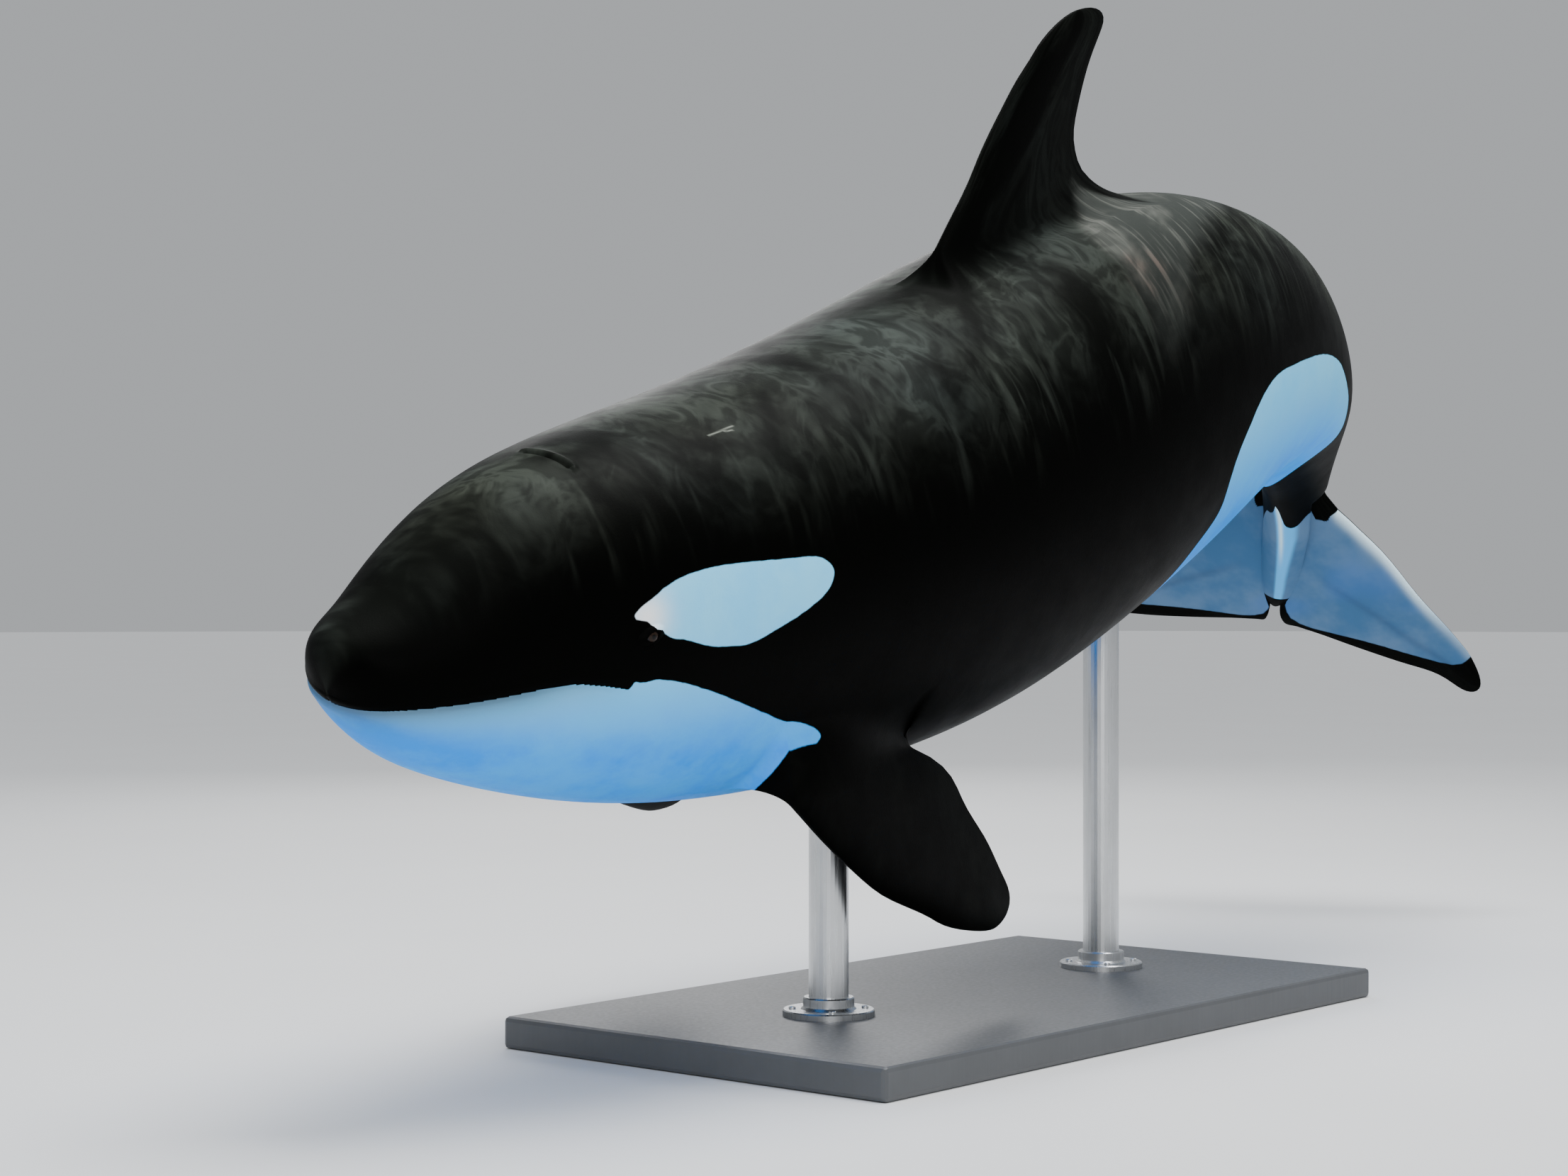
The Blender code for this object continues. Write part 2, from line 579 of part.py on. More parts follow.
for made in list(cutters.objects):
    made.hide_render, made.display_type = True, "WIRE"
    made.hide_set(True)
for made in orca.objects:
    colour, roughness, metallic = COLOURS.get(made.name, (BLACK, 0.3, 0.0))
    material = bpy.data.materials.new(made.name)
    material.use_nodes = True
    shader = material.node_tree.nodes["Principled BSDF"]
    shader.inputs["Base Color"].default_value = (*colour, 1.0)
    shader.inputs["Roughness"].default_value = roughness
    shader.inputs["Metallic"].default_value = metallic
    made.data.materials.clear()
    made.data.materials.append(material)
    made.data.shade_smooth()
    made.data.set_sharp_from_angle(angle=math.radians(SHARP_EDGE))
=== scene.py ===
"""A life-size orca in mid swim on a low display stand."""
import math

import bmesh
import bpy
import numpy as np
from mathutils import Matrix, Vector
from mathutils.bvhtree import BVHTree
from mathutils.kdtree import KDTree

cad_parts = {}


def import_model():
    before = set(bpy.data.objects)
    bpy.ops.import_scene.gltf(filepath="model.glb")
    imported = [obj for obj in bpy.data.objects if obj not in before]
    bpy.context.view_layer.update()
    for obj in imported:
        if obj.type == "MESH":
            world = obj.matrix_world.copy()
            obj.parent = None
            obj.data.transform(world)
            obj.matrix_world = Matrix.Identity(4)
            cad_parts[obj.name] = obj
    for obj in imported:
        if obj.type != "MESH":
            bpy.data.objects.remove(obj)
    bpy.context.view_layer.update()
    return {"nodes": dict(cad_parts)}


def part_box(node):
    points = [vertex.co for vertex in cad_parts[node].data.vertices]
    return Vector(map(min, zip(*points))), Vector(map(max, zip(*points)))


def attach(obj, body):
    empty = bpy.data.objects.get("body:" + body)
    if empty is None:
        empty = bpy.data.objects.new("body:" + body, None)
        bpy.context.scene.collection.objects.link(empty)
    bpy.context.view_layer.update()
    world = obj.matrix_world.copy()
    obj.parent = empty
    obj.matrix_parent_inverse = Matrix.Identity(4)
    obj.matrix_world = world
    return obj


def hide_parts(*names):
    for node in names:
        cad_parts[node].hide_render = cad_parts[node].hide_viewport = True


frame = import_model()

# The animal's shape, in metres, shares of its length and degrees, as in its solids.
LENGTH = 5.5
BODY_END = 0.9965
# Rings and columns of the solids, and how many times finer the skin starts.
COARSE_RINGS, COARSE_COLUMNS = 96, 32
FINER = 3
RINGS, COLUMNS = COARSE_RINGS * FINER, COARSE_COLUMNS * FINER
BEND_AT = (0.06, 0.28, 0.50, 0.74, 0.95)
TURN = (-2.6, 0.9, -0.4, 15.4, 40.5)
CLIMB = (12.8, 12.6, 19.5, -8.6, -46.1)
ROLL_AT = (0.0, 0.1, 0.45, 0.95, 1.1)
ROLL = (17.9, 17.9, 13.7, 20.8, 20.8)
# The spine runs straight on past this share; the walk along it: from, to, points.
STRAIGHT_FROM = 1.02
WALK = (-0.03, 1.06, 437)
ANCHOR_AT = 0.30
ANCHOR = (-0.56, 0.0, 1.27)
# Share of the length, height over the spine, depth below it, half width.
SECTIONS = (
    (0.000, 0.000, 0.000, 0.000),
    (0.006, 0.112, 0.071, 0.108),
    (0.020, 0.151, 0.159, 0.178),
    (0.031, 0.180, 0.206, 0.208),
    (0.045, 0.240, 0.252, 0.241),
    (0.080, 0.355, 0.343, 0.310),
    (0.125, 0.408, 0.432, 0.373),
    (0.190, 0.441, 0.513, 0.432),
    (0.280, 0.496, 0.565, 0.485),
    (0.380, 0.568, 0.582, 0.503),
    (0.480, 0.600, 0.553, 0.481),
    (0.580, 0.549, 0.517, 0.415),
    (0.680, 0.420, 0.410, 0.330),
    (0.780, 0.300, 0.281, 0.225),
    (0.870, 0.198, 0.180, 0.123),
    (0.930, 0.138, 0.120, 0.096),
    (0.975, 0.069, 0.062, 0.070),
    (1.000, 0.016, 0.016, 0.028),
)
KEEL_AT = (0.0, 0.55, 0.70, 0.85, 0.95, 1.0)
KEEL = (0.0, 0.0, 0.03, 0.07, 0.03, 0.0)
FOREHEAD_LEAN, FOREHEAD_REACH = 0.25, 0.10
END_ROUNDING = 0.015
# Steps along and around for a direction on the skin, and the search for a place on it.
PROBE_SHARE, PROBE_DEGREES = 1e-3, 1.0
SEARCH_ROUNDS, SEARCH_STEP = 12, 0.8

# A limb's rows: the first third is its fillet, and the rest crowd towards the tip.
LIMB_LEVELS = 36
FILLET_SHARE = 1 / 3
SPAN_CROWDING = 1.7
TIP_CUT = 0.004
# The fillet's directions: up the limb, in towards the root, and back at the heel.
FOOT_STEP = 0.01
INNER_CHORD, INNER_ANGLE = 0.5, 0.6
HEEL_FROM, HEEL_PULL = 0.6, 2.9
# The peak of a limb's thickness curve, and how far its faces' edges draw in.
FOIL_PEAK = 0.3849
EDGE_START, EDGE_NARROWING = 0.006, 0.031
# Limbs: leading and trailing edge along the chord and half the thickness, at
# shares of the span.
LIMB = {"side": 1, "angle": None, "down": 0.0, "twist": 0.0, "swing": 0.0, "heel": 0.0,
        "bend": 0.0}
DORSAL_FIN = {
    "name": "dorsal_fin", "holes": (0.372, 0.562), "columns": (-1, 1),
    "station": 0.46, "span": (0.570, 1.135),
    "lead": ((0.0, -0.47), (0.14, -0.397), (0.26, -0.327), (0.37, -0.26), (0.48, -0.208),
        (0.58, -0.155), (0.68, -0.094), (0.78, -0.028), (0.87, 0.045), (1.0, 0.118)),
    "trail": ((0.0, 0.46), (0.12, 0.356), (0.23, 0.277), (0.32, 0.247), (0.42, 0.236),
        (0.54, 0.255), (0.66, 0.286), (0.78, 0.329), (0.88, 0.374), (1.0, 0.407)),
    "thick": ((0.0, 0.062), (0.2, 0.046), (0.5, 0.031), (0.8, 0.02), (1.0, 0.013)),
    "foot": 0.17, "close": 0.88, "tip": 0.25,
}
FLIPPER = {
    "name": "flipper_left", "holes": (0.188, 0.282), "columns": (10, 13),
    "station": 0.24, "angle": 130.0, "down": 70.0, "twist": -8.0, "span": (0.0, 0.620),
    "lead": ((0.0, -0.345), (0.13, -0.273), (0.31, -0.168), (0.47, -0.059), (0.62, 0.063),
        (0.79, 0.256), (0.91, 0.372), (1.0, 0.468)),
    "trail": ((0.0, 0.13), (0.09, 0.26), (0.19, 0.38), (0.29, 0.457), (0.43, 0.509), (0.62, 0.598),
        (0.78, 0.658), (0.91, 0.708), (1.0, 0.736)),
    "thick": ((0.0, 0.062), (0.2, 0.052), (0.5, 0.036), (0.8, 0.022), (1.0, 0.012)),
    "foot": 0.12, "close": 0.83, "tip": 0.60, "bend": 0.03,
}
FLUKE = {
    "name": "fluke_left", "holes": (0.886, 0.9935), "columns": (5, 11),
    "station": 0.965, "swing": 3.9, "heel": 1.0, "span": (0.0, 0.729),
    "lead": ((0.0, -0.45), (0.13, -0.4), (0.18, -0.335), (0.25, -0.285), (0.34, -0.229),
        (0.45, -0.16), (0.54, -0.09), (0.63, -0.013), (0.72, 0.054), (0.82, 0.124), (0.9, 0.185),
        (1.0, 0.255)),
    "trail": ((0.0, 0.2), (0.06, 0.24), (0.16, 0.262), (0.33, 0.285), (0.5, 0.306), (0.66, 0.32),
        (0.83, 0.342), (0.89, 0.365), (1.0, 0.395)),
    "thick": ((0.0, 0.052), (0.2, 0.044), (0.5, 0.029), (0.8, 0.016), (1.0, 0.008)),
    "foot": 0.11, "close": 0.90, "tip": 0.335, "bend": 0.035,
}
RIGHT_FLIPPER_TURN = {"down": 58.0, "twist": -10.0, "swing": -7.0}

LIP_AT = (0.0, 0.004, 0.012, 0.024, 0.038, 0.052, 0.064, 0.074, 0.082, 0.092, 0.098)
LIP_HEIGHT = (-0.024, -0.018, -0.010, -0.006, -0.003, 0.003, 0.009, 0.010, 0.003, -0.011, -0.020)
LIPS_MEET = 0.0005
EYE_AT = (0.1077, 76.8)
EYE_RADIUS, EYE_DEPTH = 0.026, 0.015
EYE_BULGE, BULGE_RADIUS = 0.0015, 0.013
EYE_SLANT = 0.25
BLOWHOLE = ((0.1072, -10.5), (0.108, -5.5), (0.1085, 0.0), (0.1087, 5.0), (0.1083, 9.8))
SCARS = (((0.1756, 17.5), (0.1827, 17.2), (0.1908, 16.8)), ((0.1843, 17.9), (0.1884, 18.5)))
ROD_RADIUS = 0.05
BASE_TOP = 0.08

# Points on the smooth lines of the lips, throat, patch, saddle and blowhole.
LIP_POINTS, THROAT_POINTS, PATCH_POINTS, SADDLE_POINTS, BLOW_POINTS = 90, 420, 160, 80, 24
# Where the skin's mesh is refined: from this near, faces with edges over this length.
LIP_STEPS = ((0.060, 0.012), (0.030, 0.006), (0.012, 0.0032))
BLOW_STEPS = ((0.080, 0.014), (0.040, 0.007), (0.020, 0.0035))
SCAR_STEPS = ((0.050, 0.014), (0.030, 0.008), (0.012, 0.004))
EYE_STEPS = ((0.13, 0.012), (0.085, 0.008), (0.058, 0.004), (0.036, 0.0022))
MARKING_STEPS = ((0.040, 0.020), (0.018, 0.010))

# Lips and blowhole pressed into the skin: height, width and distance from the line.
CARVED_UNTIL = 0.16
LIP_GROOVE, LIP_SWELL = (-0.0045, 0.0070, 0.0), (0.0014, 0.009, 0.018)
BLOW_GROOVE = (-0.008, 0.0034, 0.0)
BLOW_RIM, BLOW_REAR_RIM = (0.0015, 0.008, 0.012), (0.0050, 0.008, 0.012)
LIPS_FADE, LIPS_LOSS, BLOW_TURN = (0.090, 0.099), 0.9, 0.004
# The eyelids' bulge, the fold round it and the almond opening, with half sizes.
EYE_REACH, EYE_STEP = 0.12, 0.004
LID_LIFT, LID_SIZE, LID_FLATNESS = 0.0120, (0.031, 0.019), 3.2
FOLD_DEPTH, FOLD_SIZE, FOLD_WIDTH = 0.0018, (0.037, 0.023), 0.12
OPENING_DEPTH, OPENING_SIZE, OPENING_EDGE = 0.028, (0.0165, 0.0085), (0.86, 1.06)
OPENING_TAPER, OPENING_LEAST = 0.25, 0.4

# The edges of the white and grey areas: share of the length, degrees from the
# back down either side.
GAPE_EDGE = ((0.0984, 93.2), (0.0996, 92.2), (0.1007, 90.5), (0.103, 91.3), (0.106, 91.4))
THROAT_EDGE = ((0.106, 91.4), (0.1096, 91.2), (0.1157, 92), (0.1272, 94.8), (0.1459, 100.5),
    (0.1699, 108), (0.1882, 113.2), (0.2027, 116.3), (0.2062, 117.8), (0.2001, 119.8),
    (0.1953, 125), (0.1958, 131), (0.2, 139), (0.206, 145), (0.214, 151), (0.228, 158), (0.25, 163),
    (0.28, 166), (0.33, 167), (0.38, 165), (0.42, 160), (0.455, 150), (0.475, 139), (0.49, 128),
    (0.503, 119), (0.511, 115.5), (0.517, 111), (0.519, 104), (0.522, 98), (0.53, 92), (0.539, 88),
    (0.549, 84), (0.559, 81), (0.576, 78), (0.594, 77), (0.617, 76), (0.651, 74.3), (0.675, 74.4),
    (0.692, 76), (0.705, 79), (0.726, 84), (0.745, 89), (0.759, 94), (0.777, 102), (0.782, 108),
    (0.784, 118), (0.787, 132), (0.795, 145), (0.807, 160), (0.82, 180))
PATCH_EDGE = ((0.1142, 77.2), (0.1166, 78.5), (0.1224, 80), (0.132, 83), (0.1444, 85.2),
    (0.1537, 85.8), (0.161, 85), (0.1715, 82.8), (0.182, 80.6), (0.1905, 78.2), (0.1985, 74.6),
    (0.2008, 71), (0.1972, 67.2), (0.1888, 65), (0.1728, 63.4), (0.1517, 61.3), (0.1331, 60.6),
    (0.123, 61.6), (0.115, 63.6), (0.1066, 66.6), (0.1031, 68), (0.1016, 69.2))
PATCH_FRONT = ((0.1016, 69.2), (0.102, 70.5), (0.104, 71.2), (0.1068, 72), (0.1085, 73.5),
    (0.1099, 74.8), (0.1124, 75.5), (0.1142, 77.2))
SADDLE_EDGE = ((0.5, -6), (0.49, 6), (0.484, 12), (0.478, 22), (0.476, 33), (0.472, 43),
    (0.466, 51), (0.464, 57), (0.471, 60), (0.483, 58), (0.498, 54), (0.511, 46.5), (0.527, 38),
    (0.552, 30), (0.578, 22.5), (0.605, 13), (0.618, 4), (0.62, -6))
# How far down the sides the painted dappled light reaches, in degrees.
HAZE_AT = (0.0, 0.04, 0.10, 0.20, 0.40, 0.60, 0.90)
HAZE_EDGE = (46.0, 48.0, 56.0, 62.0, 68.0, 74.0, 80.0)
HAZE_TOP, STRIPES_TOP, STRIPES_RISE, STRIPES_FALL = 6, (4, 24), 26, 6
# The painted dappled light's strength on the fin and the other limbs, where its fine lines start,
# and their lean.
FIN_HAZE, LIMB_HAZE, LIMB_BLEND = 0.16, 0.07, 0.09
REAR_FROM = (0.46, 0.56)
STRIPE_LEAN, STRIPE_EASE = 0.15, 0.05
# How far the white climbs a limb, and values well outside a marking.
WHITE_LIFT = 0.030
OUTSIDE, SIDE_OUTSIDE = -0.2, -0.1
LINE_STEP = 0.003
PATCH_TIP, PATCH_TIP_RADIUS = (0.1065, 70.5), 0.055
# How far the painted shade along the lip line reaches, and the shares over which it ends.
LIP_SHADE_REACH, LIP_SHADE_END = 0.035, (0.05, 0.11)
SCAR_STRENGTH, SCAR_WIDTH = 0.7, 0.0020
# The grey of the tail: its end on the body, and on the flukes a painted highlight along the leading
# edge and painted shade along the middle of the chord.
PALE_END, TAIL_END, TAIL_END_LIFT = 0.985, 0.97, 0.2
FLUKE_GLOW, FLUKE_FOLD = 0.028, 0.020
GLOW_IN, GLOW_OUT, GLOW_LOSS = (0.10, 0.22), (0.55, 0.90), 0.75
FOLD_IN, FOLD_CHORD, FOLD_DRIFT = (0.12, 0.35), 0.50, 0.16
FLUKE_ROOT = (0.05, 0.30)
FACE_BORDER, UNDER_MORE, UPPER_LESS = 0.03, 0.002, 0.001
# A painted reflection along the keel: a brighter strip up to just past its middle, and a bright
# line.
KEEL_SOFT, KEEL_RIGHT = 7, (183, 190)
RIDGE_AT, RIDGE_WIDTH, RIDGE_END = 177, 4.5, (0.915, 0.955)
# Where the black of the tail ends, on its left and on its right side, and on both flukes.
SCALLOPS = {
    1: ((124, 0.8945), (127, 0.8946), (132.7, 0.8964), (138.2, 0.8995), (144.9, 0.9022),
        (149.8, 0.9025), (155, 0.902), (158.7, 0.9011), (166.5, 0.8973), (171.2, 0.8907),
        (174.2, 0.876), (180, 0.866)),
    -1: ((124, 0.915), (130, 0.907), (144.3, 0.893), (160.3, 0.8857), (170.6, 0.879), (180, 0.866)),
}
FLUKE_SCALLOPS = {
    1: ((0.05, -0.36), (0.078, -0.335), (0.085, -0.297), (0.093, -0.276), (0.109, -0.266),
        (0.123, -0.264), (0.136, -0.27), (0.148, -0.28), (0.16, -0.293), (0.168, -0.296),
        (0.18, -0.29), (0.19, -0.5)),
    -1: ((0.05, -0.29), (0.078, -0.288), (0.086, -0.29), (0.094, -0.31), (0.11, -0.345),
        (0.15, -0.45), (0.19, -0.5)),
}
NOTCH_EDGE = ((0.11, -0.05), (0.11, 0.018))
FLUKE_EDGE = ((0.154, 0.026), (0.186, 0.034), (0.215, 0.05), (0.236, 0.08), (0.247, 0.13),
    (0.249, 0.22), (0.251, 0.3), (0.256, 0.38), (0.264, 0.47), (0.269, 0.57), (0.264, 0.625),
    (0.248, 0.656), (0.215, 0.682), (0.16, 0.694))
# Where the painted reflection's strip beside the keel begins, in degrees.
KEEL_EDGE = ((0.89, 146), (0.918, 146), (0.933, 152), (0.949, 158), (0.964, 161), (0.985, 158))


def natural_spline(xs, ys):
    """A smooth curve through the points, straight at both ends."""
    xs, ys = np.asarray(xs, float), np.asarray(ys, float)
    steps, count = np.diff(xs), len(xs)
    matrix, right = np.eye(count), np.zeros(ys.shape)
    for i in range(1, count - 1):
        matrix[i, i - 1:i + 2] = steps[i - 1], 2 * (steps[i - 1] + steps[i]), steps[i]
        right[i] = 6 * ((ys[i + 1] - ys[i]) / steps[i] - (ys[i] - ys[i - 1]) / steps[i - 1])
    bends = np.linalg.solve(matrix, right)

    def value(x):
        x = np.asarray(x, float)
        i = np.clip(np.searchsorted(xs, x) - 1, 0, count - 2)
        width = steps[i]
        a = (xs[i + 1] - x) / width
        b = 1 - a
        if ys.ndim > 1:
            a, b, width = a[..., None], b[..., None], width[..., None]
        cubic = ((a ** 3 - a) * bends[i] + (b ** 3 - b) * bends[i + 1]) * width ** 2 / 6
        return a * ys[i] + b * ys[i + 1] + cubic
    return value


def smooth_step(low, high, value):
    share = np.clip((np.asarray(value, float) - low) / (high - low), 0, 1)
    return share * share * (3 - 2 * share)


def bell(value, width, middle=0.0):
    return np.exp(-((value - middle) / width) ** 2)


turn_at = natural_spline(BEND_AT, TURN)
climb_at = natural_spline(BEND_AT, CLIMB)
roll_at = natural_spline(ROLL_AT, ROLL)
keel_at = natural_spline(KEEL_AT, KEEL)
lip_at = natural_spline(LIP_AT, LIP_HEIGHT)
sections = np.array(SECTIONS)
size_at = natural_spline(np.sqrt(sections[:, 0]), sections[:, 1:])


def axes_at(x):
    """Directions to the tail, to the left and to the back at shares x."""
    held = np.clip(x, 0.0, STRAIGHT_FROM)
    turn, climb = np.radians(turn_at(held)), np.radians(climb_at(held))
    roll = np.radians(roll_at(np.clip(x, ROLL_AT[0], ROLL_AT[-1])))[..., None]
    tail = np.stack([np.cos(climb) * np.cos(turn), np.cos(climb) * np.sin(turn), np.sin(climb)], -1)
    flat = np.stack([np.sin(turn), -np.cos(turn), 0 * turn], -1)
    up = -np.cross(tail, flat)
    return tail, flat * np.cos(roll) - up * np.sin(roll), up * np.cos(roll) + flat * np.sin(roll)


walk = np.linspace(*WALK)
steps_along = axes_at(walk)[0] * (walk[1] - walk[0]) * LENGTH
spine = np.vstack([np.zeros(3), np.cumsum((steps_along[1:] + steps_along[:-1]) / 2, 0)])
spine += np.array(ANCHOR) - [np.interp(ANCHOR_AT, walk, spine[:, k]) for k in range(3)]


def spine_at(x):
    return np.stack([np.interp(x, walk, spine[:, k]) for k in range(3)], -1)


def body_point(x, angle):
    """The skin at share x; angle in degrees from the back over the left side."""
    x, turn = np.asarray(x, float), np.radians(angle)
    top, bottom, half = np.moveaxis(size_at(np.sqrt(np.clip(x, 0, 1))), -1, 0)
    late = np.clip((x - (BODY_END - END_ROUNDING)) / END_ROUNDING, 0, 1)
    closing = np.sqrt(1 - late ** 2)
    keel = keel_at(np.clip(x, 0, 1))
    up = (np.cos(turn) + keel * np.cos(3 * turn)) / (1 + keel) * closing
    up = up * np.where(up > 0, top, bottom)
    across = half * (np.sin(turn) - keel * np.sin(3 * turn)) / (1 + keel) * closing
    lean = FOREHEAD_LEAN * np.maximum(0, 1 - x / FOREHEAD_REACH) ** 2 * np.maximum(up, 0)
    x = x - lean / LENGTH
    tail, left, back = axes_at(x)
    return spine_at(x) + across[..., None] * left + up[..., None] * back


def skin_normal(x, angle):
    """Directions straight out of the skin."""
    x, angle = np.asarray(x, float), np.asarray(angle, float)
    before = np.maximum(x - PROBE_SHARE, 1e-5)
    along = body_point(x + PROBE_SHARE, angle) - body_point(before, angle)
    around = body_point(x, angle + PROBE_DEGREES) - body_point(x, angle - PROBE_DEGREES)
    normal = np.cross(around, along)
    normal = normal / np.maximum(np.linalg.norm(normal, axis=-1, keepdims=True), 1e-9)
    outward = np.sum(normal * (body_point(x, angle) - spine_at(x)), -1, keepdims=True)
    return normal * np.sign(outward)


def skin_coordinates(points, x):
    """Share of the length and angle of points near the skin, from a first guess."""
    for _ in range(SEARCH_ROUNDS):
        tail = axes_at(x)[0]
        x = x + np.sum((points - spine_at(x)) * tail, -1) / LENGTH * SEARCH_STEP
    tail, left, back = axes_at(x)
    out = points - spine_at(x)
    across, up = np.sum(out * left, -1), np.sum(out * back, -1)
    top, bottom, half = np.moveaxis(size_at(np.sqrt(np.clip(x, 0, 1))), -1, 0)
    return x, np.degrees(np.arctan2(across / half, up / np.where(up > 0, top, bottom)))


def limb_frame(limb):
    """Origin and the chord, across and span directions of a limb."""
    x = np.array(limb["station"])
    tail, left, back = axes_at(x)
    down, twist = math.radians(limb["down"]), math.radians(limb["twist"])
    if limb["name"] == "dorsal_fin":
        span = np.array([0.0, 0.0, 1.0])
    else:
        span = np.array([0.0, math.cos(down), -math.sin(down)])
    chord = np.array([1.0, 0.0, 0.0])
    chord = chord * math.cos(twist) + np.cross(chord, span) * math.sin(twist)
    across = -np.cross(chord, span)
    swing = math.radians(limb["swing"]) * limb["side"]
    chord, span = (chord * math.cos(swing) + span * math.sin(swing),
                   span * math.cos(swing) - chord * math.sin(swing))
    side = np.array([tail, left * limb["side"], back])
    origin = spine_at(x)
    if limb["angle"] is not None:
        origin = body_point(x, limb["angle"] * limb["side"])
    return origin, chord @ side, across @ side, span @ side


def foil(share):
    """Thickness along the chord, full at a third of it."""
    return np.sqrt(np.clip(share, 0, 1)) * (1 - share) / FOIL_PEAK


def limb_surface(limb, a, t, s):
    """a runs along the chord, t from one face to the other, s along the span."""
    origin, chord, across, span = limb["frame"]
    shut = np.clip((s - limb["close"]) / (1 - limb["close"]), 0, 1)
    shut = np.sqrt(1 - shut ** 2)
    share = 0.5 * (1 - np.cos(np.pi * a))
    share = EDGE_START * t ** 2 + share * (1 - EDGE_NARROWING * t ** 2)
    lead = limb["tip"] + (limb["lead_at"](s) - limb["tip"]) * shut
    trail = limb["tip"] + (limb["trail_at"](s) - limb["tip"]) * shut
    low, high = limb["span"]
    thick = limb["thick_at"](s) * shut
    out = low + (high - low) * s
    flat = (lead + (trail - lead) * share)[..., None] * chord + out[..., None] * span
    return origin + flat + (t * thick * foil(share) + limb["bend"] * s ** 2)[..., None] * across


def limb_point(limb, a, t, level, x_edge, angle_edge):
    """A limb's point: a fillet out of the body, then the limb itself."""
    share = np.asarray(level, float)
    later = np.clip((share - FILLET_SHARE) / (1 - FILLET_SHARE), 0, 1)
    s = limb["foot"] + (1 - limb["foot"]) * (1 - (1 - later) ** SPAN_CROWDING)
    s = np.minimum(s, 1 - (1 - limb["close"]) * TIP_CUT)
    surface = limb_surface(limb, a, t, s)
    foot = limb_surface(limb, a, t, np.full_like(s, limb["foot"]))
    above = limb_surface(limb, a, t, np.full_like(s, limb["foot"] + FOOT_STEP))
    rise = above - foot
    rise = rise / np.linalg.norm(rise, axis=-1, keepdims=True)
    edge = body_point(x_edge, angle_edge)
    inner_a = a + (0.5 - a) * INNER_CHORD
    x0, x1 = limb["holes"]
    middle = (limb["columns"][0] + limb["columns"][1]) * 180 / COARSE_COLUMNS * limb["side"]
    inner = body_point(x0 + (x1 - x0) * inner_a, angle_edge + (middle - angle_edge) * INNER_ANGLE)
    reach = np.linalg.norm(foot - edge, axis=-1, keepdims=True)
    inward = inner - edge
    inward = inward / np.linalg.norm(inward, axis=-1, keepdims=True)
    heel = np.clip((a - HEEL_FROM) / (1 - HEEL_FROM), 0, 1)[..., None] * limb["heel"]
    inward = inward * (1 - heel) + limb["frame"][1] * heel * HEEL_PULL
    u = np.clip(share / FILLET_SHARE, 0, 1)[..., None]
    blend = ((2 * u ** 3 - 3 * u ** 2 + 1) * edge + (u ** 3 - 2 * u ** 2 + u) * inward * reach
             + (3 * u ** 2 - 2 * u ** 3) * foot + (u ** 3 - u ** 2) * rise * reach)
    return np.where((share > FILLET_SHARE)[..., None], surface, blend)


def ring_share(ring):
    return BODY_END * (1 - np.cos(np.pi * np.asarray(ring, float) / RINGS)) / 2


def prepare(limb, **changes):
    limb = {**LIMB, **limb, **changes}
    limb["frame"] = limb_frame(limb)
    for key in ("lead", "trail", "thick"):
        limb[key + "_at"] = natural_spline(*zip(*limb[key]))
    every = ring_share(np.arange(COARSE_RINGS + 1) * FINER)
    limb["rings"] = [int(np.argmin(abs(every - x))) * FINER for x in limb["holes"]]
    limb["holes"] = [float(ring_share(r)) for r in limb["rings"]]
    return limb


LIMBS = [
    prepare(DORSAL_FIN),
    prepare(FLIPPER),
    prepare(FLIPPER, name="flipper_right", side=-1, **RIGHT_FLIPPER_TURN),
    prepare(FLUKE),
    prepare(FLUKE, name="fluke_right", side=-1),
]


def lip_angle(x):
    """Where the lip line meets the skin, in degrees from the back."""
    top, bottom, half = size_at(np.sqrt(x))
    height = float(lip_at(x))
    return math.degrees(math.acos(max(-1.0, min(1.0, height / (top if height > 0 else bottom)))))


def distance_to(points, line):
    """Distance from each point to a line through points."""
    along = np.concatenate([[0], np.cumsum(np.linalg.norm(np.diff(line, axis=0), axis=1))])
    spots = np.linspace(0, along[-1], int(along[-1] / LINE_STEP) + 2)
    line = np.column_stack([np.interp(spots, along, line[:, k]) for k in range(3)])
    tree = KDTree(len(line))
    for number, spot in enumerate(line):
        tree.insert(spot, number)
    tree.balance()
    nearest = np.array([tree.find(point)[1] for point in points])
    gaps = []
    for number in (nearest - 1, nearest):
        start = line[np.clip(number, 0, len(line) - 2)]
        step = line[np.clip(number, 0, len(line) - 2) + 1] - start
        share = np.sum((points - start) * step, -1) / np.maximum(np.sum(step ** 2, -1), 1e-12)
        gaps.append(points - start - np.clip(share, 0, 1)[:, None] * step)
    return np.sqrt(np.minimum(*(np.sum(gap ** 2, -1) for gap in gaps)))


def inside(polygon, xs, ys):
    """Whether flat points lie inside a closed outline."""
    found = np.zeros(len(xs), bool)
    for (x0, y0), (x1, y1) in zip(polygon, np.roll(polygon, -1, 0)):
        if y0 != y1:
            crosses = (y0 > ys) != (y1 > ys)
            found ^= crosses & (xs < x0 + (ys - y0) / (y1 - y0) * (x1 - x0))
    return found


def rounded(points, count):
    """A smooth line through the points of an edge."""
    points = np.asarray(points, float)
    gaps = np.linalg.norm(np.diff(points, axis=0) * (LENGTH, math.radians(0.4)), axis=1)
    along = np.concatenate([[0], np.cumsum(gaps)])
    return natural_spline(along, points)(np.linspace(0, along[-1], count))


